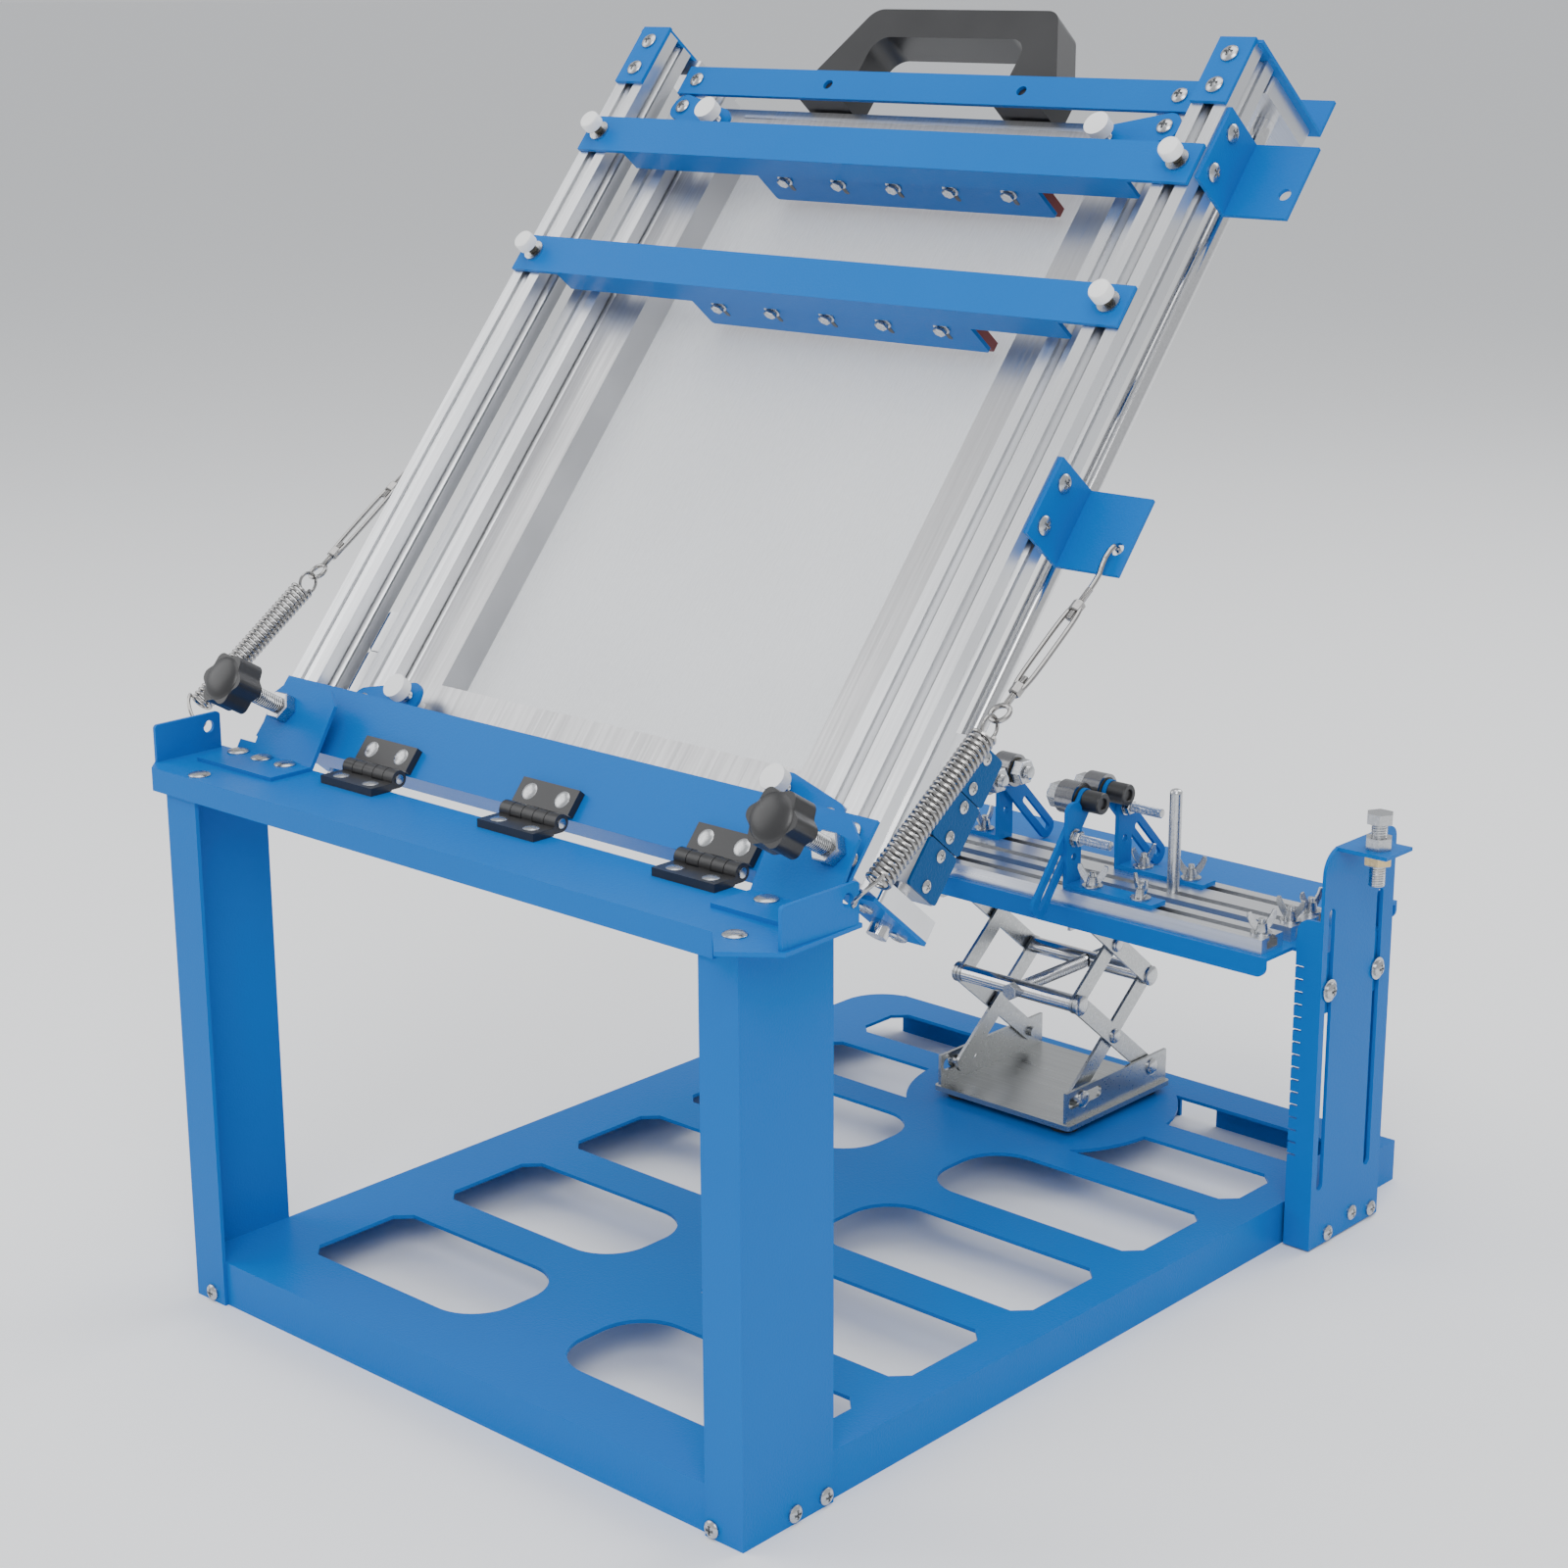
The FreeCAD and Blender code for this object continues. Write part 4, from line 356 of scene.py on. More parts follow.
class Nodes:
    """The node tree of one material and its main shader."""

    def __init__(self, name: str) -> None:
        """Make an empty material with a Principled shader."""
        self.material = bpy.data.materials.new(name)
        self.material.use_nodes = True
        self.tree = self.material.node_tree
        self.shader = self.tree.nodes["Principled BSDF"]

    def node(self, kind: str, settings: dict[str, object], inputs: dict[object, object],
             output: object = 0) -> Value:
        """Add a node, set what it is, then fill or link its sockets.

        Args:
            kind: Blender's type of node.
            settings: attributes that are set first.
            inputs: socket name or number to a number, a colour or a Value.
            output: name or number of the socket that is returned.

        Returns:
            The chosen output.
        """
        made = self.tree.nodes.new(kind)
        for key, value in settings.items():
            setattr(made, key, value)
        for key, value in inputs.items():
            self._fill(made.inputs[key], value)
        return Value(self, made.outputs[output])

    def _fill(self, target: bpy.types.NodeSocket, value: object) -> None:
        """Link a Value to a socket, or set anything else on it."""
        if isinstance(value, Value):
            self.tree.links.new(value.socket, target)
        else:
            target.default_value = value

    def coordinates(self, stretch: Triple = (1.0, 1.0, 1.0), turn: Triple = (0.0, 0.0, 0.0)) -> Value:
        """Object coordinates, scaled and turned."""
        spot = self.node("ShaderNodeTexCoord", {}, {}, "Object")
        return self.node("ShaderNodeMapping", {"vector_type": "TEXTURE"},
                         {"Vector": spot, "Scale": tuple(1.0 / s for s in stretch), "Rotation": turn})

    def noise(self, vector: Value, scale: float, detail: float = 2.0) -> Value:
        """Noise between 0 and 1."""
        return self.node("ShaderNodeTexNoise", {}, {"Vector": vector, "Scale": scale, "Detail": detail})

    def mix(self, factor: Value, low: Triple, high: Triple) -> Value:
        """Mix of two colours."""
        return self.node("ShaderNodeMix", {"data_type": "RGBA"},
                         {0: factor, 6: (*low, 1.0), 7: (*high, 1.0)}, 2)

    def bump(self, height: Value, strength: float, distance: float) -> Value:
        """Normal from a height."""
        return self.node("ShaderNodeBump", {}, {"Height": height, "Strength": strength,
                                                "Distance": distance})

    def set(self, **sockets: object) -> None:
        """Set or link sockets of the shader, with _ for a space."""
        for key, value in sockets.items():
            self._fill(self.shader.inputs[key.replace("_", " ")], value)


class Grain(Enum):
    """Direction of the drawn or brushed lines of a metal."""

    NONE = (1.0, 1.0, 1.0)
    ACROSS = (0.02, 1.0, 1.0)
    ALONG = (1.0, 0.02, 0.02)


@dataclass(frozen=True)
class Paint:
    """Powder-coated steel: fine orange peel over an even colour."""

    name: str
    colour: Triple
    shade: Triple
    roughness: float = 0.36
    peel: float = 0.25

    def build(self) -> bpy.types.Material:
        """Build the material: a soft cloud of two blues, and a fine noise as its peel.

        Returns:
            The material.
        """
        nodes = Nodes(self.name)
        spot = nodes.coordinates()
        cloud = nodes.noise(spot, 9.0, 3.0)
        fine = nodes.noise(spot, 900.0)
        nodes.set(Base_Color=nodes.mix(cloud, self.colour, self.shade),
                  Roughness=self.roughness + (cloud - 0.5) * 0.14 + (fine - 0.5) * 0.1,
                  Normal=nodes.bump(fine, self.peel, 0.0004), Specular_IOR_Level=0.12)
        return nodes.material


@dataclass(frozen=True)
class Metal:
    """Bare or plated metal with drawn lines and faint wear."""

    name: str
    colour: Triple
    roughness: float
    grain: Grain = Grain.NONE
    lines: float = 0.1
    turn: float = 0.0
    streak: float = 0.82

    def build(self) -> bpy.types.Material:
        """Build the material: noise stretched along the grain darkens and roughens it.

        Returns:
            The material.
        """
        nodes = Nodes(self.name)
        spot = nodes.coordinates(self.grain.value, (self.turn, 0.0, 0.0))
        lines = nodes.noise(spot, 700.0, 3.0)
        cloud = nodes.noise(nodes.coordinates(), 22.0, 3.0)
        dark = tuple(part * self.streak for part in self.colour)
        blend = (lines * 1.6 - 0.3 + (cloud - 0.5) * 0.5).clamp()
        nodes.set(Base_Color=nodes.mix(blend, self.colour, dark), Metallic=1.0,
                  Roughness=self.roughness + (lines - 0.5) * 0.22 + (cloud - 0.5) * 0.12,
                  Normal=nodes.bump(lines, self.lines, 0.0002))
        return nodes.material


@dataclass(frozen=True)
class Moulded:
    """Moulded plastic or rubber with a fine skin."""

    name: str
    colour: Triple
    roughness: float = 0.45
    skin: float = 0.15

    def build(self) -> bpy.types.Material:
        """Build the material: a slightly lighter cloud, and a fine noise as its skin.

        Returns:
            The material.
        """
        nodes = Nodes(self.name)
        spot = nodes.coordinates()
        cloud = nodes.noise(spot, 30.0, 3.0)
        fine = nodes.noise(spot, 1400.0)
        light = tuple(min(1.0, part * 1.25 + 0.004) for part in self.colour)
        nodes.set(Base_Color=nodes.mix(cloud, self.colour, light),
                  Roughness=self.roughness + (cloud - 0.5) * 0.16 + (fine - 0.5) * 0.06,
                  Normal=nodes.bump(fine, self.skin, 0.0002))
        return nodes.material


@dataclass(frozen=True)
class Mesh:
    """Stretched printing mesh: fine threads, partly see-through."""

    name: str
    colour: Triple
    cover: float = 0.42

    def build(self) -> bpy.types.Material:
        """Build the material: a cloud and a fine noise vary how much is seen through it.

        Returns:
            The material.
        """
        nodes = Nodes(self.name)
        spot = nodes.coordinates()
        cloud = nodes.noise(spot, 14.0, 3.0)
        weave = nodes.noise(nodes.coordinates((1.0, 0.1, 0.1)), 1500.0, 1.0)
        shade = tuple(part * 0.9 for part in self.colour)
        nodes.set(Base_Color=nodes.mix(cloud, self.colour, shade), Roughness=0.55 + (cloud - 0.5) * 0.2,
                  Alpha=(self.cover + (cloud - 0.5) * 0.1 + (weave - 0.5) * 0.2).clamp())
        return nodes.material


Finish = Paint | Metal | Moulded | Mesh
BLUE = Paint("blue_paint", (0.0, 0.125, 0.45), (0.0, 0.14, 0.49))
DEEP_BLUE = Paint("deep_blue_paint", (0.0, 0.06, 0.20), (0.0, 0.075, 0.25), 0.3, 0.4)
ALUMINIUM = Metal("drawn_aluminium", (0.80, 0.81, 0.83), 0.32, Grain.ALONG, 0.1, TILT)
BRUSHED = Metal("brushed_aluminium", (0.60, 0.60, 0.61), 0.34, Grain.ALONG, 0.2, TILT, 0.7)
RAIL = Metal("rail_aluminium", (0.86, 0.87, 0.89), 0.32, Grain.ACROSS, 0.08)
STEEL = Metal("plated_steel", (0.56, 0.57, 0.58), 0.27)
PLATE_STEEL = Metal("brushed_plate", (0.50, 0.51, 0.51), 0.3, Grain.ACROSS, 0.15)
POLISHED = Metal("polished_steel", (0.72, 0.72, 0.73), 0.14, lines=0.03)
BEARING = Metal("bearing_steel", (0.27, 0.27, 0.28), 0.2, lines=0.03)
WIRE = Metal("spring_wire", (0.42, 0.41, 0.40), 0.22, lines=0.03)
BRASS = Metal("brass", (0.72, 0.56, 0.30), 0.3, lines=0.05)
BLACK = Moulded("black_plastic", (0.018, 0.018, 0.019), 0.34)
WHITE = Moulded("white_plastic", (0.80, 0.80, 0.79), 0.42)
SEAL = Moulded("bearing_seal", (0.05, 0.045, 0.03), 0.4)
RED_RUBBER = Moulded("blade_rubber", (0.16, 0.02, 0.02), 0.5)
DARK_RUBBER = Moulded("foot_rubber", (0.02, 0.02, 0.02), 0.6)
MESH = Mesh("printing_mesh", (0.86, 0.88, 0.90))


@dataclass
class Workshop:
    """Builds each finish once and makes pieces out of shapes."""

    built: dict[str, bpy.types.Material] = field(default_factory=dict)

    def finish(self, finish: Finish) -> bpy.types.Material:
        """Return the finish's material, made on first use."""
        if finish.name not in self.built:
            self.built[finish.name] = finish.build()
        return self.built[finish.name]

    def dress(self, finish: Finish, *nodes: str) -> None:
        """Give solids of the frame a finish.

        Args:
            finish: what they are made of.
            nodes: their names.
        """
        for name in nodes:
            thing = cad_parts[name]
            if not thing.material_slots:
                thing.data.materials.append(self.finish(finish))
            for slot in thing.material_slots:
                slot.material = self.finish(finish)

    def piece(self, name: str, shape: Shape, finish: Finish, body: str | None, slot: str = "zinc_steel",
              smooth: bool = True) -> bpy.types.Object:
        """Make one object from a shape, riding on a body.

        Args:
            name: the piece's name.
            shape: gathered vertices and faces.
            finish: what it is made of.
            body: the body it moves with, or None for a piece that spans two bodies, which is left on
                neither.
            slot: not used.
            smooth: whether rounded faces are shaded smooth.

        Returns:
            The new object.
        """
        points, faces = shape.arrays()
        mesh = bpy.data.meshes.new(name)
        mesh.from_pydata(points.tolist(), [], faces)
        mesh.validate()
        if smooth:
            mesh.polygons.foreach_set("use_smooth", [True] * len(mesh.polygons))
            mesh.set_sharp_from_angle(angle=math.radians(35.0))
        mesh.materials.append(self.finish(finish))
        thing = bpy.data.objects.new(name, mesh)
        bpy.context.scene.collection.objects.link(thing)
        if body:
            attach(thing, body)
        log.info("%s: %d faces on %s", name, len(faces), body)
        return thing


SHOP = Workshop()


# Fasteners


def screws(places: Iterable[Place], radius: float, height: float, washer: float = 0.0,
           cross: bool = True) -> Shape:
    """Gather domed screw heads.

    Args:
        places: their seats.
        radius: radius of a head.
        height: height of its dome.
        washer: radius of a washer below it, or 0 for none.
        cross: whether it has a cross recess.

    Returns:
        All of them as one shape.
    """
    shape = Shape()
    thick = 0.7 if washer else 0.0
    for place in places:
        if washer:
            shape.lathe(place, [(washer, 0.0), (washer, thick), (radius * 0.6, 0.9)], 28)
        shape.screw_head(place.at(0, 0, thick), radius, height, cross)
    return shape


def hex_nut(shape: Shape, place: Place, flats: float, thick: float, washer: float = 0.0) -> Shape:
    """Add a bevelled hexagon nut.

    Args:
        shape: where it is gathered.
        place: its seat.
        flats: width across flats.
        thick: its height.
        washer: radius of a washer below it, or 0 for none.

    Returns:
        The same shape.
    """
    low = 0.9 if washer else 0.0
    if washer:
        shape.lathe(place, [(washer, 0.0), (washer, low), (flats * 0.3, low)], 28)
    return shape.prism(place, hexagon(flats), low, low + thick, 0.6)


WING = np.array([(1.8, 1.4), (4.2, 2.0), (7.0, 6.0), (8.7, 9.9), (8.5, 12.4), (6.6, 12.8), (5.0, 9.6),
                 (2.1, 6.2)])


def wing_nut(shape: Shape, place: Place, turn: float) -> None:
    """Add a wing nut: a washer, a tapered boss, the bolt's end and two flat wings.

    Args:
        shape: where it is gathered.
        place: its seat, with z along the bolt.
        turn: turn about the bolt, in degrees.
    """
    c, s = math.cos(math.radians(turn)), math.sin(math.radians(turn))
    x, y = np.array(place.x), np.array(place.y)
    place = Place(place.origin, tuple(c * x + s * y), tuple(c * y - s * x), place.z)
    shape.lathe(place, [(5.8, 0.0), (5.8, 1.0), (4.2, 1.0)], 28)
    shape.lathe(place, [(3.6, 0.9), (3.6, 1.8), (2.8, 5.8), (2.0, 6.0)])
    shape.thread(place, 1.9, 5.8, 8.4, 0.7)
    for side in SIDES:
        flat = Place(place.origin, tuple(side * np.array(place.x)), place.z,
                     tuple(-side * np.array(place.y)))
        shape.prism(flat, WING, -0.7, 0.7, 0.3)


# The press, one class for each sub-assembly


@dataclass
class Stand:
    """Base tray, legs, table, hinges and stop brackets."""

    leg_face: float = 195.5
    table_z: float = 285.0
    foot_z: float = 287.0
    leaf_z: float = 288.2
    table_rivets: tuple[Pair, ...] = ((-174.0, 5.0), (193.0, 1.0))
    foot_rivets: tuple[Pair, ...] = ((-189.5, 41.0), (-170.5, 41.0), (-152.0, 41.0), (175.0, 40.0),
                                     (194.0, 40.0))
    front_screws: Pair = (-182.2, 177.0)
    side_screws: Pair = (33.6, 54.5)
    leaf_y: float = 42.5
    pin_half: float = 18.8

    def build(self) -> None:
        """Dress the stand's solids and add its fasteners."""
        SHOP.dress(BLUE, "base_tray", "left_leg", "right_leg", "table_top", "rear_post", "stop_brackets")
        SHOP.dress(BLACK, "lower_hinge_leaves")
        SHOP.dress(STEEL, "adjusting_bolt")
        self.rivets()
        self.leg_screws()
        self.hinges()
        self.stop_nuts()

    def rivets(self) -> None:
        """Flat rivet heads on the table and the stop brackets' feet."""
        shape = Shape()
        head = [(5.6, 0.0), (5.6, 0.5), (5.0, 1.0), (3.4, 1.5)]
        for spots, z in ((self.table_rivets, self.table_z), (self.foot_rivets, self.foot_z)):
            for x, y in spots:
                shape.lathe(GROUND.at(x, y, z), head, 28)
        SHOP.piece("table_rivets", shape, STEEL, "stand")

    def leg_screws(self) -> None:
        """Cross-head screws low on the legs."""
        spots = [GROUND.at(x, 0, 5.0).turned("-y") for x in self.front_screws]
        spots += [GROUND.at(side * self.leg_face, y, 5.4).turned(outward(side)) for side in (1, -1)
                  for y in self.side_screws]
        SHOP.piece("leg_screws", screws(spots, 4.2, 2.6), STEEL, "stand")

    def hinges(self) -> None:
        """Two countersunk screws in each lower leaf, and the hinge pins' ends."""
        spots = [GROUND.at(middle + step, self.leaf_y, self.leaf_z) for middle in HINGE_MIDDLES
                 for step in HINGE_STEPS]
        SHOP.piece("lower_hinge_screws", screws(spots, 4.4, 1.6, cross=False), STEEL, "stand")
        shape = Shape()
        for middle in HINGE_MIDDLES:
            for side in (1, -1):
                shape.lathe(LEAN.at(middle + side * self.pin_half, 0, 0).turned(outward(side)),
                            [(2.4, 0.0), (2.4, 0.5), (1.8, 0.8)])
        SHOP.piece("hinge_pin_ends", shape, STEEL, "stand")

    def stop_nuts(self) -> None:
        """Bright nuts over the ones welded to the brackets' ears."""
        shape = Shape()
        for x in STOPS.values():
            hex_nut(shape, EAR.at(x, STOP_RISE, 2.05), 13.4, 7.2)
        SHOP.piece("stop_nuts", shape, STEEL, "stand")


@dataclass
class RearPost:
    """Slotted channel with its screws and the adjusting bolt's thread."""

    face: float = 211.5
    foot_spots: tuple[Pair, ...] = ((447.0, 6.0), (471.0, 10.0), (491.0, 6.0))
    slot_rows: Pair = (437.0, 484.5)
    slot_z: float = 148.0
    bolt: Pair = (228.0, 452.0)
    bolt_ends: Pair = (205.9, 240.2)
    lock_low: float = 217.4

    def build(self) -> None:
        """Add the post's screws and the adjusting bolt's thread and lock nut."""
        foot = [GROUND.at(self.face, y, z).turned("+x") for y, z in self.foot_spots]
        SHOP.piece("post_foot_screws", screws(foot, 4.2, 2.4), STEEL, "stand")
        slot_screws = [GROUND.at(self.face + 0.3, y, self.slot_z).turned("+x") for y in self.slot_rows]
        SHOP.piece("post_slot_screws", screws(slot_screws, 4.4, 2.8, 6.2), STEEL, "work_holder")
        bolt = GROUND.at(*self.bolt, 0.0)
        SHOP.piece("adjusting_bolt_thread", Shape().thread(bolt, 4.35, *self.bolt_ends, 1.3), STEEL, "stand")
        lock = hex_nut(Shape(), bolt.at(0, 0, self.lock_low), 13.5, 6.4)
        SHOP.piece("adjusting_bolt_nut", lock, BRASS, "stand")


@dataclass
class TiltingFrame:
    """Outer profiles, plates, rods, supports and spring tabs."""

    leaf_u: float = 11.5
    leaf_w: float = -1.8
    front_w: float = -5.0
    cap_rows: Pair = (429.0, 447.0)
    plate_rows: Pair = (12.0, 32.0)
    tab_x: float = 202.0
    tab_w: float = -17.0
    tab_rows: tuple[float, ...] = (197.0, 219.0, 389.0, 411.0)
    upper_x: float = 192.0
    upper_u: float = 457.0
    upper_rows: Triple = (-17.0, -44.0, -66.0)
    lower_x: float = 187.0
    lower_u: float = 11.0
    lower_rows: Pair = (-38.0, -68.0)

    def build(self) -> None:
        """Dress the tilting frame's solids and add its fasteners."""
        SHOP.dress(BLUE, "bottom_plate", "spring_tabs", "lower_end_plates", "upper_end_plates", "end_caps")
        SHOP.dress(BLACK, "upper_hinge_leaves")
        SHOP.dress(ALUMINIUM, "outer_profiles", "shaft_supports")
        SHOP.dress(POLISHED, "guide_rods")
        leaves = [LEAN.at(middle + step, self.leaf_u, self.leaf_w) for middle in HINGE_MIDDLES
                  for step in HINGE_STEPS]
        SHOP.piece("upper_hinge_screws", screws(leaves, 4.6, 1.6, cross=False), STEEL, "tilting_frame")
        heads = {"cap_screws": [LEAN.at(side * PROFILE_X, u, self.front_w) for side in SIDES
                                for u in self.cap_rows],
                 "plate_screws": [LEAN.at(side * PROFILE_X, u, self.front_w) for side in SIDES
                                  for u in self.plate_rows],
                 "tab_screws": [LEAN.at(side * self.tab_x, u, self.tab_w).turned(outward(side))
                                for side in SIDES for u in self.tab_rows],
                 "upper_plate_screws": [LEAN.at(side * self.upper_x, self.upper_u, w).turned("+y")
                                        for side in SIDES for w in self.upper_rows],
                 "lower_plate_screws": [LEAN.at(side * self.lower_x, self.lower_u, w).turned("-y")
                                        for side in SIDES for w in self.lower_rows]}
        for name, spots in heads.items():
            SHOP.piece(name, screws(spots, 4.5, 2.4), STEEL, "tilting_frame")


@dataclass
class Knobs:
    """Star knobs and their threaded spindles."""

    tail: float = -10.6
    back: float = 32.0
    thick: float = 15.0
    dome: tuple[Pair, ...] = ((11.6, -0.5), (11.2, 0.2), (9.8, 1.0), (7.0, 1.9), (3.6, 2.4), (0.6, 2.5))

    def build(self) -> None:
        """Dress the knobs, round their fronts and show the steel spindles."""
        for side, x in STOPS.items():
            SHOP.dress(BLACK, f"{side}_star_knob")
            place = EAR.at(x, STOP_RISE, 0.0)
            shape = Shape().thread(place, 4.35, self.tail, self.back + 0.5, 1.3)
            SHOP.piece(f"{side}_spindle_thread", shape, STEEL, f"{side}_knob")
            front = place.at(0, 0, self.back + self.thick)
            SHOP.piece(f"{side}_knob_front", Shape().lathe(front, self.dome, 40), BLACK, f"{side}_knob",
                       "black_plastic")


@dataclass
class Carriage:
    """Sliding profiles, bearings, screen and clamps."""

    bearing_face: float = 199.4
    bearing_start: float = 28.0
    bearing_pitch: float = 24.8
    bearing_steps: Pair = (4.5, 19.7)
    bearing_w: float = -55.0
    strip_x: float = 178.4
    strip_u: float = 65.0
    strip_w: float = -43.05
    strip_screws: tuple[float, ...] = (34.0, 46.5, 59.0, 71.5, 84.0, 96.0)
    profile_x: float = 159.0
    profile_rows: Triple = (42.0, 417.0, 435.0)
    clamp_x: float = 129.0
    clamp_rows: Pair = (50.0, 409.0)
    lever_top: float = -22.0
    ribs: tuple[float, ...] = (404.0, 409.5, 415.0, 420.5)
    rib_w: float = -33.05
    rib_half: float = 122.5

    def build(self) -> None:
        """Dress the carriage's solids and add its trim and fasteners."""
        SHOP.dress(ALUMINIUM, "inner_profiles", "bearing_blocks")
        SHOP.dress(BRUSHED, "screen_frame")
        SHOP.dress(DEEP_BLUE, "bearing_plates")
        SHOP.dress(BLUE, "top_strip", "clamp_levers")
        SHOP.dress(BLACK, "carry_handle")
        SHOP.dress(MESH, "screen_mesh")
        SHOP.dress(WHITE, "clamp_screws")
        self.bearings()
        self.clamps()
        self.screen_ribs()

    def bearings(self) -> None:
        """Screws in the bearings' outer plates, and a strip with dark screws on their inner sides."""
        plates = [LEAN.at(side * self.bearing_face, self.bearing_start + self.bearing_pitch * n + step,
                          self.bearing_w).turned(outward(side))
                  for side in SIDES for n in range(3) for step in self.bearing_steps]
        SHOP.piece("bearing_screws", screws(plates, 3.0, 1.4), STEEL, "carriage")
        strips, dots = Shape(), Shape()
        for side in SIDES:
            strips.prism(LEAN.at(side * self.strip_x, self.strip_u, self.strip_w), box_outline(2.2, 36.8),
                         0.0, 0.6)
            for u in self.strip_screws:
                dots.lathe(LEAN.at(side * self.strip_x, u, self.strip_w + 0.55),
                           [(1.7, 0.0), (1.7, 0.7), (1.1, 1.1)], 20)
        SHOP.piece("bearing_strips", strips, BLUE, "carriage", "blue_paint", smooth=False)
        SHOP.piece("bearing_strip_screws", dots, BLACK, "carriage", "black_plastic")

    def clamps(self) -> None:
        """Screws along the inner profiles and the clamp screws' threads."""
        spots = [LEAN.at(side * self.profile_x, u, self.lever_top) for side in SIDES
                 for u in self.profile_rows]
        SHOP.piece("carriage_screws", screws(spots, 4.2, 2.4), STEEL, "carriage")
        studs = Shape()
        for side in SIDES:
            for u in self.clamp_rows:
                studs.thread(LEAN.at(side * self.clamp_x, u, 0.0), 2.95, self.lever_top, -15.9, 0.9)
        SHOP.piece("clamp_studs", studs, STEEL, "carriage")

    def screen_ribs(self) -> None:
        """Raised lines along the upper bar of the screen."""
        shape = Shape()
        for u in self.ribs:
            shape.prism(LEAN.at(0.0, u, self.rib_w), box_outline(self.rib_half, 0.9), 0.0, 0.65)
        SHOP.piece("screen_ribs", shape, ALUMINIUM, "carriage", "plain_aluminium", smooth=False)


@dataclass
class Squeegees:
    """Cross bars, blade holders and blades."""

    levels: tuple[tuple[str, float], ...] = (("upper", 374.0), ("lower", 295.0))
    bar_half: float = 12.0
    bar_top: float = -4.7
    holder_step: float = 2.0
    holder_middle: float = 12.0
    holder_w: float = -24.2
    pitch: float = 36.8
    slot_rise: float = -4.8

    def build(self) -> None:
        """Dress both sets and add their thumb screws and holder screws."""
        for level, start in self.levels:
            SHOP.dress(BLUE, f"{level}_squeegee_bar", f"{level}_squeegee_holder")
            SHOP.dress(RED_RUBBER, f"{level}_squeegee_blade")
            self.thumb_screws(level, start)
            self.holder_screws(level, start + self.holder_step)

    def holder_screws(self, level: str, face: float) -> None:
        """Add five flanged hexagon screws; below each, a thin dark patch paints the shade inside the
        holder's slot.

        Args:
            level: "upper" or "lower".
            face: the holder's front face, along the frame.
        """
        heads, slot_shade = Shape(), Shape()
        for n in range(5):
            spot = LEAN.at(self.holder_middle + self.pitch * (n - 2), face, self.holder_w).turned("-y")
            heads.lathe(spot, [(4.4, 0.0), (4.4, 0.7), (3.4, 1.1)], 32)
            heads.prism(spot, hexagon(6.0), 1.0, 3.6, 0.5)
            # painted shade: a thin black patch on the holder's face stands in for the shade inside each slot
            slot_shade.prism(spot.at(self.slot_rise, 0.0, 0.0), oblong(1.5, 3.6), -0.1, 0.15)
        body = f"{level}_squeegee"
        SHOP.piece(f"{level}_holder_screws", heads, STEEL, body)
        SHOP.piece(f"{level}_holder_slot_shade", slot_shade, BLACK, body, "black_plastic", smooth=False)

    def thumb_screws(self, level: str, start: float) -> None:
        """Add a washer, a dark threaded stud and a white cap at each end of a bar.

        Args:
            level: "upper" or "lower".
            start: the bar's lower edge, along the frame.
        """
        washers, studs, caps = Shape(), Shape(), Shape()
        for side in SIDES:
            spot = LEAN.at(side * PROFILE_X, start + self.bar_half, self.bar_top)
            washers.lathe(spot, [(5.8, 0.0), (5.8, 1.1), (2.8, 1.2)], 36)
            studs.thread(spot, 2.6, 0.8, 6.2, 0.9)
            caps.lathe(spot, [(5.0, 5.4), (5.5, 5.8), (5.5, 10.4), (5.0, 11.2), (4.0, 11.6)], 36)
        for kind, shape, finish, slot in (("washers", washers, STEEL, "zinc_steel"),
                                          ("studs", studs, SEAL, "zinc_steel"),
                                          ("caps", caps, WHITE, "white_plastic")):
            SHOP.piece(f"{level}_thumb_{kind}", shape, finish, f"{level}_squeegee", slot)


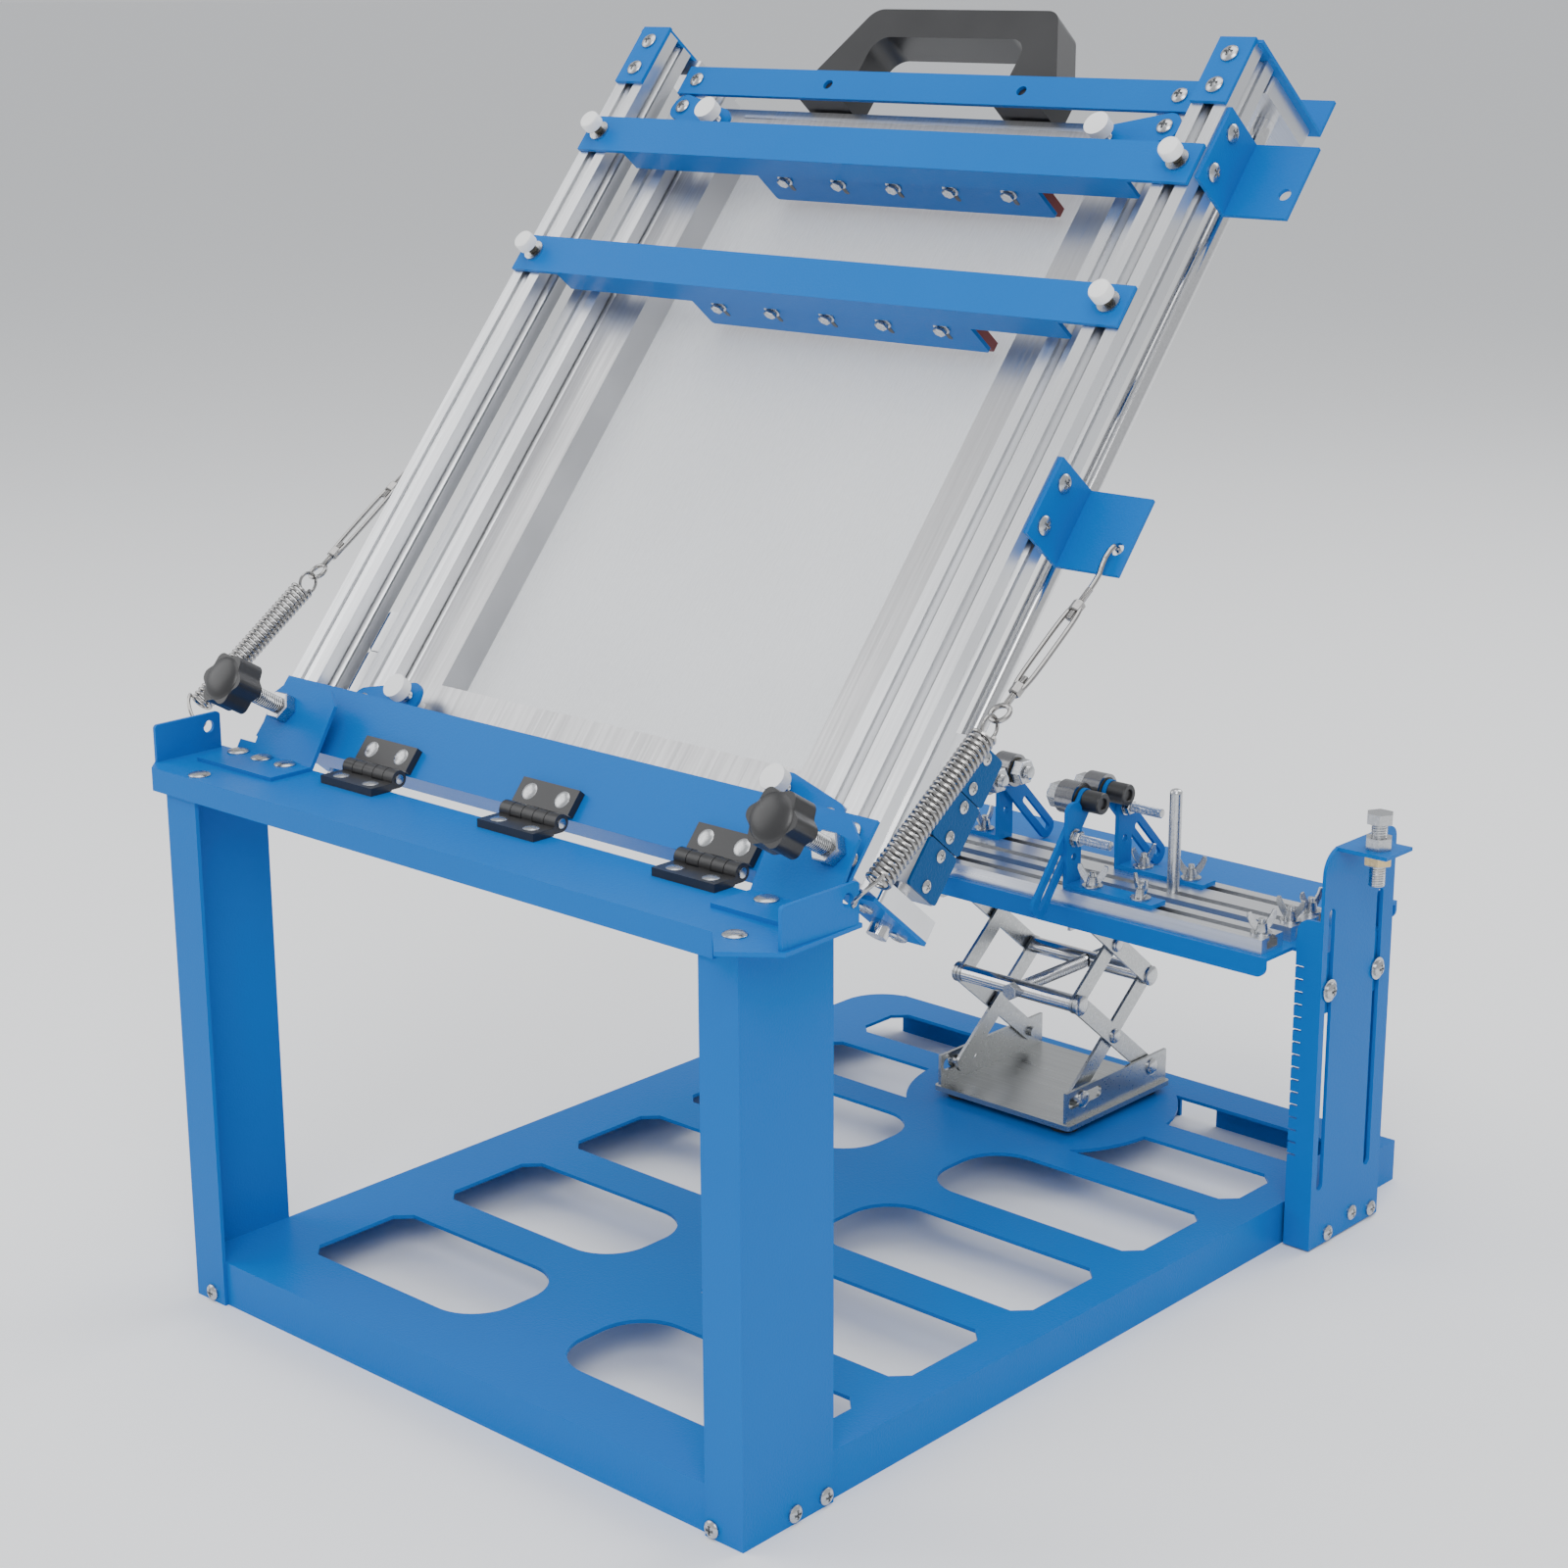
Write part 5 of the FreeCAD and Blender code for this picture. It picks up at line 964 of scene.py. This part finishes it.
@dataclass
class Jack:
    """Scissor jack below the work holder."""

    middle: float = 4.0
    plate_face: float = 47.0
    slide_face: float = 47.4
    arm_face: float = 44.4
    front_y: float = 440.1
    rear_y: float = 508.0
    half_y: float = 474.05
    levels: tuple[float, ...] = (43.05, 71.04, 99.03, 127.01, 155.0)
    plate_head: float = 5.0
    arm_head: float = 4.4
    rod_head: float = 6.0
    threads: tuple[Pair, ...] = ((446.0, 501.5), (513.5, 524.4))
    hex_ends: Pair = (430.5, 436.0)

    def build(self) -> None:
        """Dress the jack's solids and add thread and pin heads."""
        SHOP.dress(PLATE_STEEL, "jack_base", "jack_top_plate", "jack_lower_arms", "jack_crossed_arms",
                   "jack_upper_arms_a", "jack_upper_arms_b")
        SHOP.dress(POLISHED, "jack_spindle", "jack_rear_rod")
        SHOP.dress(DARK_RUBBER, "jack_feet")
        base, low, knee, high, top = self.levels
        front, rear, half = self.front_y, self.rear_y, self.half_y
        for name, body, y, z, face, radius in (
                ("jack_base_rivets", "stand", rear, base, self.plate_face, self.plate_head),
                ("jack_top_rivets", "work_holder", rear, top, self.plate_face, self.plate_head),
                ("jack_lower_slide_heads", "crossed_arms", front, base, self.slide_face, self.plate_head),
                ("jack_upper_slide_heads", "upper_arms_b", front, top, self.slide_face, self.plate_head),
                ("jack_lower_rivets", "lower_arms", half, low, self.arm_face, self.arm_head),
                ("jack_upper_rivets", "upper_arms_a", half, high, self.arm_face, self.arm_head),
                ("jack_front_rod_heads", "spindle", front, knee, self.arm_face, self.rod_head),
                ("jack_rear_rod_heads", "rear_rod", rear, knee, self.arm_face, self.rod_head)):
            self.heads(name, body, y, z, face, radius)
        shape = Shape()
        along = GROUND.at(self.middle, 0.0, knee).turned("+y")
        for start, end in self.threads:
            shape.thread(along, 3.9, start, end, 1.6)
        shape.prism(along, hexagon(9.0), *self.hex_ends, 0.5)
        SHOP.piece("jack_spindle_thread", shape, STEEL, "spindle")

    def heads(self, name: str, body: str, y: float, z: float, face: float, radius: float) -> None:
        """Add a domed head on both sides of the jack.

        Args:
            name: the piece's name.
            body: the body it moves with.
            y: place from the front.
            z: height.
            face: face it sits on, from the jack's middle.
            radius: radius of the head.
        """
        shape = Shape()
        for side in SIDES:
            place = GROUND.at(self.middle + side * face, y, z).turned(outward(side))
            shape.lathe(place, [(radius, 0.0), (radius, 0.8), (radius * 0.85, 1.5), (radius * 0.5, 1.9),
                                (0.3, 2.0)], 28)
        SHOP.piece(name, shape, STEEL, body)


@dataclass
class WorkHolder:
    """Tray, slotted rails, roller brackets and rollers."""

    rail_top: float = 176.0
    foot_top: float = 178.5
    foot_nuts: tuple[float, ...] = (67.6, 100.0, -46.6, -79.0)
    foot_rows: Pair = (422.0, 470.0)
    end_x: float = 178.0
    end_rows: Triple = (422.0, 450.0, 470.0)
    turns: tuple[float, ...] = (20.0, 75.0, -30.0, 50.0, 10.0, 95.0, 35.0, -15.0, 60.0, 5.0, 80.0)
    columns: tuple[tuple[str, int, float], ...] = (("left", -1, 31.0), ("right", 1, 52.0))
    roller_z: float = 222.0
    rollers: tuple[tuple[str, float], ...] = (("front", 436.0), ("rear", 460.0))
    clamps: tuple[Pair, ...] = ((422.0, 204.0), (470.0, 212.0))
    cap: tuple[Pair, ...] = ((6.2, 0.1), (6.2, 11.0), (5.7, 11.6), (3.5, 11.6), (3.2, 11.3),
                             (3.2, 10.15), (0.4, 10.15))
    seal: tuple[Pair, ...] = ((7.7, -0.2), (7.7, 0.15), (5.0, 0.2))
    seal_faces: Pair = (15.5, 3.5)
    rod: Pair = (102.0, 450.0)
    rod_dome: tuple[Pair, ...] = ((3.55, 232.6), (3.4, 233.6), (2.7, 234.5), (1.5, 235.0), (0.3, 235.1))

    def build(self) -> None:
        """Dress the holder's solids and add caps, nuts and wing nuts."""
        SHOP.dress(BLUE, "holder_tray", "roller_brackets")
        SHOP.dress(RAIL, "front_rail", "rear_rail")
        SHOP.dress(STEEL, "stop_rod")
        SHOP.dress(BEARING, "left_front_roller", "left_rear_roller", "right_front_roller",
                   "right_rear_roller")
        self.wing_nuts()
        self.brackets()
        end = Shape().lathe(GROUND.at(*self.rod, 0.0), self.rod_dome, 28)
        SHOP.piece("stop_rod_end", end, POLISHED, "work_holder", "polished_steel")

    def wing_nuts(self) -> None:
        """Wing nuts on the brackets' feet and at the rails' ends."""
        shape = Shape()
        spots = [GROUND.at(x, y, self.foot_top) for x in self.foot_nuts for y in self.foot_rows]
        spots += [GROUND.at(self.end_x, y, self.rail_top) for y in self.end_rows]
        for spot, turn in zip(spots, self.turns):
            wing_nut(shape, spot, turn)
        SHOP.piece("wing_nuts", shape, STEEL, "work_holder")

    def brackets(self) -> None:
        """Caps, nuts, bolts and bearing seals along each roller's screw."""
        caps, nuts, seals = Shape(), Shape(), {}
        for column, side, inner in self.columns:
            for (row, y), (clamp_y, clamp_z) in zip(self.rollers, self.clamps):
                axis = GROUND.at(side * inner, y, self.roller_z)
                caps.lathe(axis.turned(outward(side)), self.cap, 32)
                inward = axis.turned(outward(-side))
                hex_nut(nuts, inward.at(0, 0, 16.3), 13.4, 6.4)
                nuts.thread(inward, 3.9, 22.0, 25.5, 1.2)
                self.clamp_bolt(nuts, GROUND.at(side * inner, clamp_y, clamp_z), side)
                far, near = self.seal_faces
                seal = seals[f"{column}_{row}"] = Shape()
                seal.lathe(inward.at(0, 0, far), self.seal, 32)
                seal.lathe(inward.at(0, 0, near).turned("-z"), self.seal, 32)
        SHOP.piece("roller_caps", caps, BLACK, "work_holder", "black_plastic")
        SHOP.piece("roller_nuts", nuts, STEEL, "work_holder")
        for name, shape in seals.items():
            SHOP.piece(f"{name}_bearing_seals", shape, SEAL, f"{name}_wheel", "black_plastic")

    @staticmethod
    def clamp_bolt(shape: Shape, place: Place, side: int) -> None:
        """Add the bolt that clamps a slanted strap: nut, long thread and domed head.

        Args:
            shape: where it is gathered.
            place: where the bolt goes through the bracket.
            side: -1 left or 1 right.
        """
        out = place.turned(outward(side))
        hex_nut(shape, out.at(0, 0, 2.5), 8.0, 4.0, 5.2)
        shape.thread(out, 2.75, 2.5, 27.3, 0.9)
        shape.lathe(place.turned(outward(-side)), [(4.0, 2.4), (4.0, 3.4), (3.2, 4.4), (0.4, 4.8)], 28)


@dataclass
class Springs:
    """Counterbalance springs with their hooks and turnbuckles.

    The paths lie in a spring's own frame, whose y runs along it from the table's hole.
    """

    across: float = 229.5
    hole: Pair = (40.0, 298.0)
    angle: float = math.radians(35.19948291641264)
    start: float = 10.0
    length: float = 86.0
    turns: int = 31
    wire: float = 0.95
    radius: float = 5.2
    link_ring: Triple = (5.3, 4.6, 0.85)
    link_eye: Triple = (4.6, 13.2, 1.2)
    body_middle: float = 149.0
    body_half: Pair = (3.5, 26.0)
    body_wire: float = 1.15
    nuts: Pair = (120.5, 171.5)
    rods: tuple[Pair, ...] = ((113.4, 131.0), (167.0, 186.0))
    knots: tuple[Pair, ...] = ((185.0, 0.0), (190.0, 0.2), (194.5, 0.8), (198.0, 2.6), (202.0, 4.0),
                               (206.5, 4.3), (209.6, 3.6), (210.9, 1.2), (210.9, -3.0), (209.8, -6.0))
    hook_wire: float = 1.3

    def build(self) -> None:
        """Build both springs in place of their plain solids."""
        for side, name in zip(SIDES, ("left", "right")):
            line = tilted(*self.hole, self.angle).at(side * self.across, 0, 0)
            self.coil(line, name)
            self.lower_hook(line, side, name)
            self.turnbuckle(line, name)

    def coil(self, line: Place, name: str) -> None:
        """Add the wound wire: (r cos t, s, r sin t) with s in step with t.

        Args:
            line: the spring's frame.
            name: "left" or "right".
        """
        t = np.linspace(0.0, 2.0 * math.pi * self.turns, self.turns * 22)
        s = self.start + self.length * t / t[-1]
        spiral = np.stack([self.radius * np.cos(t), s, self.radius * np.sin(t)], -1)
        shape = Shape().tube(line.points(spiral), self.wire, line.y)
        coil = SHOP.piece(f"{name}_coil_wire", shape, WIRE, None, "polished_steel")
        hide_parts(f"{name}_spring_coil")
        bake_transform(coil)

    def lower_hook(self, line: Place, side: int, name: str) -> None:
        """Add the hook to the table, which eases from the coil's rim round into the hole.

        Its y falls and comes back as a sine while its z turns as a cosine of the same step.

        Args:
            line: the spring's frame.
            side: -1 left or 1 right.
            name: "left" or "right".
        """
        a = np.linspace(0.0, 1.0, 40)
        x = side * (self.radius * (1.0 - a) ** 2 - 4.0 * (1.0 - np.cos(math.pi * np.clip(a * 1.6, 0, 1))))
        loop = np.stack([x, 11.5 - 12.5 * np.sin(math.pi * a * 0.8), 5.0 * np.cos(math.pi * a * 1.25)], -1)
        hook = Shape().tube(line.points(loop), self.wire, (0.3, 0.2, 0.9))
        SHOP.piece(f"{name}_lower_hook", hook, WIRE, f"{name}_spring", "polished_steel")

    def turnbuckle(self, line: Place, name: str) -> None:
        """Add a ring and an eye, an open body of one bent rod, threaded rods and the upper hook.

        The body is a rounded oblong: x goes as a root of |sin t| and y as a power of |cos t|,
        each with its own sign. The hook is a line through knots.

        Args:
            line: the spring's frame.
            name: "left" or "right".
        """
        end = self.start + self.length
        shape = Shape()
        t = once_round(36)
        size, rise, wire = self.link_ring
        ring = np.stack([0 * t, end + rise + size * np.cos(t), size * np.sin(t)], -1)
        shape.tube(line.points(ring), wire, (1.0, 0.0, 0.0), closed=True)
        size, rise, wire = self.link_eye
        eye = np.stack([size * np.sin(t), end + rise + size * np.cos(t), 0 * t], -1)
        shape.tube(line.points(eye), wire, line.z, closed=True)
        t = once_round(72)
        half_x, half_y = self.body_half
        body = np.stack([half_x * np.sign(np.sin(t)) * np.abs(np.sin(t)) ** 0.5,
                         self.body_middle - half_y * np.sign(np.cos(t)) * np.abs(np.cos(t)) ** 0.6,
                         0 * t], -1)
        shape.tube(line.points(body), self.body_wire, line.z, closed=True)
        along = line.turned("+y")
        for low in self.nuts:
            shape.prism(along, hexagon(5.2), low, low + 6.0, 0.5)
        for low, high in self.rods:
            shape.thread(along, 1.6, low, high, 0.8)
        knots = np.array(self.knots)
        number = np.arange(len(knots))
        step = np.linspace(0.0, len(knots) - 1.0, 60)
        hook = np.stack([0 * step, np.interp(step, number, knots[:, 0]),
                         np.interp(step, number, knots[:, 1])], -1)
        shape.tube(line.points(hook), self.hook_wire, (1.0, 0.0, 0.0))
        piece = SHOP.piece(f"{name}_link", shape, WIRE, f"{name}_link", "polished_steel")
        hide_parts(f"{name}_turnbuckle")


# Floor, lights and camera


@dataclass
class Studio:
    """Plain pale floor, soft lights and the camera, in metres."""

    eye: Triple = (0.98012, -0.83269, 0.67290)
    gaze: Triple = (-0.64807809, 0.71158808, -0.27136174)
    right: Triple = (0.7401412, 0.67243765, -0.00431408)
    sensor: float = 36.0
    lens: float = 2988.63 / 1600.0 * 36.0
    aim: Triple = (0.0, 0.25, 0.25)
    lights: tuple[tuple[str, Triple, float, float], ...] = (
        ("key", (1.5, -1.6, 2.2), 1.6, 46.0), ("fill", (-1.9, -0.9, 1.5), 1.8, 20.0),
        ("rim", (0.4, 2.3, 2.0), 1.6, 26.0), ("top", (0.0, 0.2, 2.8), 2.2, 30.0))
    sky: float = 0.7
    floor_half: float = 60.0

    def build(self) -> None:
        """Build the studio."""
        self.floor()
        for name, place, size, power in self.lights:
            self.light(name, place, size, power)
        world = bpy.data.worlds.new("studio")
        bpy.context.scene.world = world
        world.use_nodes = True
        backdrop = world.node_tree.nodes["Background"]
        backdrop.inputs["Color"].default_value = (0.95, 0.97, 1.0, 1.0)
        backdrop.inputs["Strength"].default_value = self.sky
        self.camera()

    def floor(self) -> None:
        """Plain pale floor."""
        mesh = bpy.data.meshes.new("floor")
        corners = box_outline(self.floor_half, self.floor_half)
        mesh.from_pydata([(x, y, 0.0) for x, y in corners.tolist()], [], [(0, 1, 2, 3)])
        nodes = Nodes("floor")
        nodes.set(Base_Color=(0.94, 0.945, 0.95, 1.0), Roughness=0.75)
        mesh.materials.append(nodes.material)
        thing = bpy.data.objects.new("floor", mesh)
        bpy.context.scene.collection.objects.link(thing)

    def light(self, name: str, place: Triple, size: float, power: float) -> None:
        """Add one soft square light aimed at the press.

        Args:
            name: the light's name.
            place: where it hangs.
            size: its side.
            power: in watts.
        """
        data = bpy.data.lights.new(name, "AREA")
        data.size, data.energy = size, power
        thing = bpy.data.objects.new(name, data)
        thing.location = place
        aim = Vector(self.aim) - Vector(place)
        thing.rotation_mode = "QUATERNION"
        thing.rotation_quaternion = aim.to_track_quat("-Z", "Y")
        bpy.context.scene.collection.objects.link(thing)

    def camera(self) -> None:
        """Camera at the photograph's angle."""
        data = bpy.data.cameras.new("camera")
        data.lens, data.sensor_width = self.lens, self.sensor
        data.clip_start, data.clip_end = 0.05, 50.0
        thing = bpy.data.objects.new("camera", data)
        right, back = Vector(self.right).normalized(), -Vector(self.gaze).normalized()
        up = back.cross(right)
        turn = np.eye(4)
        turn[:3, 0], turn[:3, 1], turn[:3, 2], turn[:3, 3] = right, up, back, self.eye
        thing.matrix_world = Matrix([list(row) for row in turn])
        bpy.context.scene.collection.objects.link(thing)
        bpy.context.scene.camera = thing


def main() -> None:
    """Build the press and the studio in order."""
    for part in (Stand(), RearPost(), TiltingFrame(), Knobs(), Carriage(), Squeegees(), Jack(),
                 WorkHolder(), Springs(), Studio()):
        log.info("building %s", type(part).__name__)
        part.build()


if __name__ == "__main__":
    logging.basicConfig(level=logging.INFO)
    main()
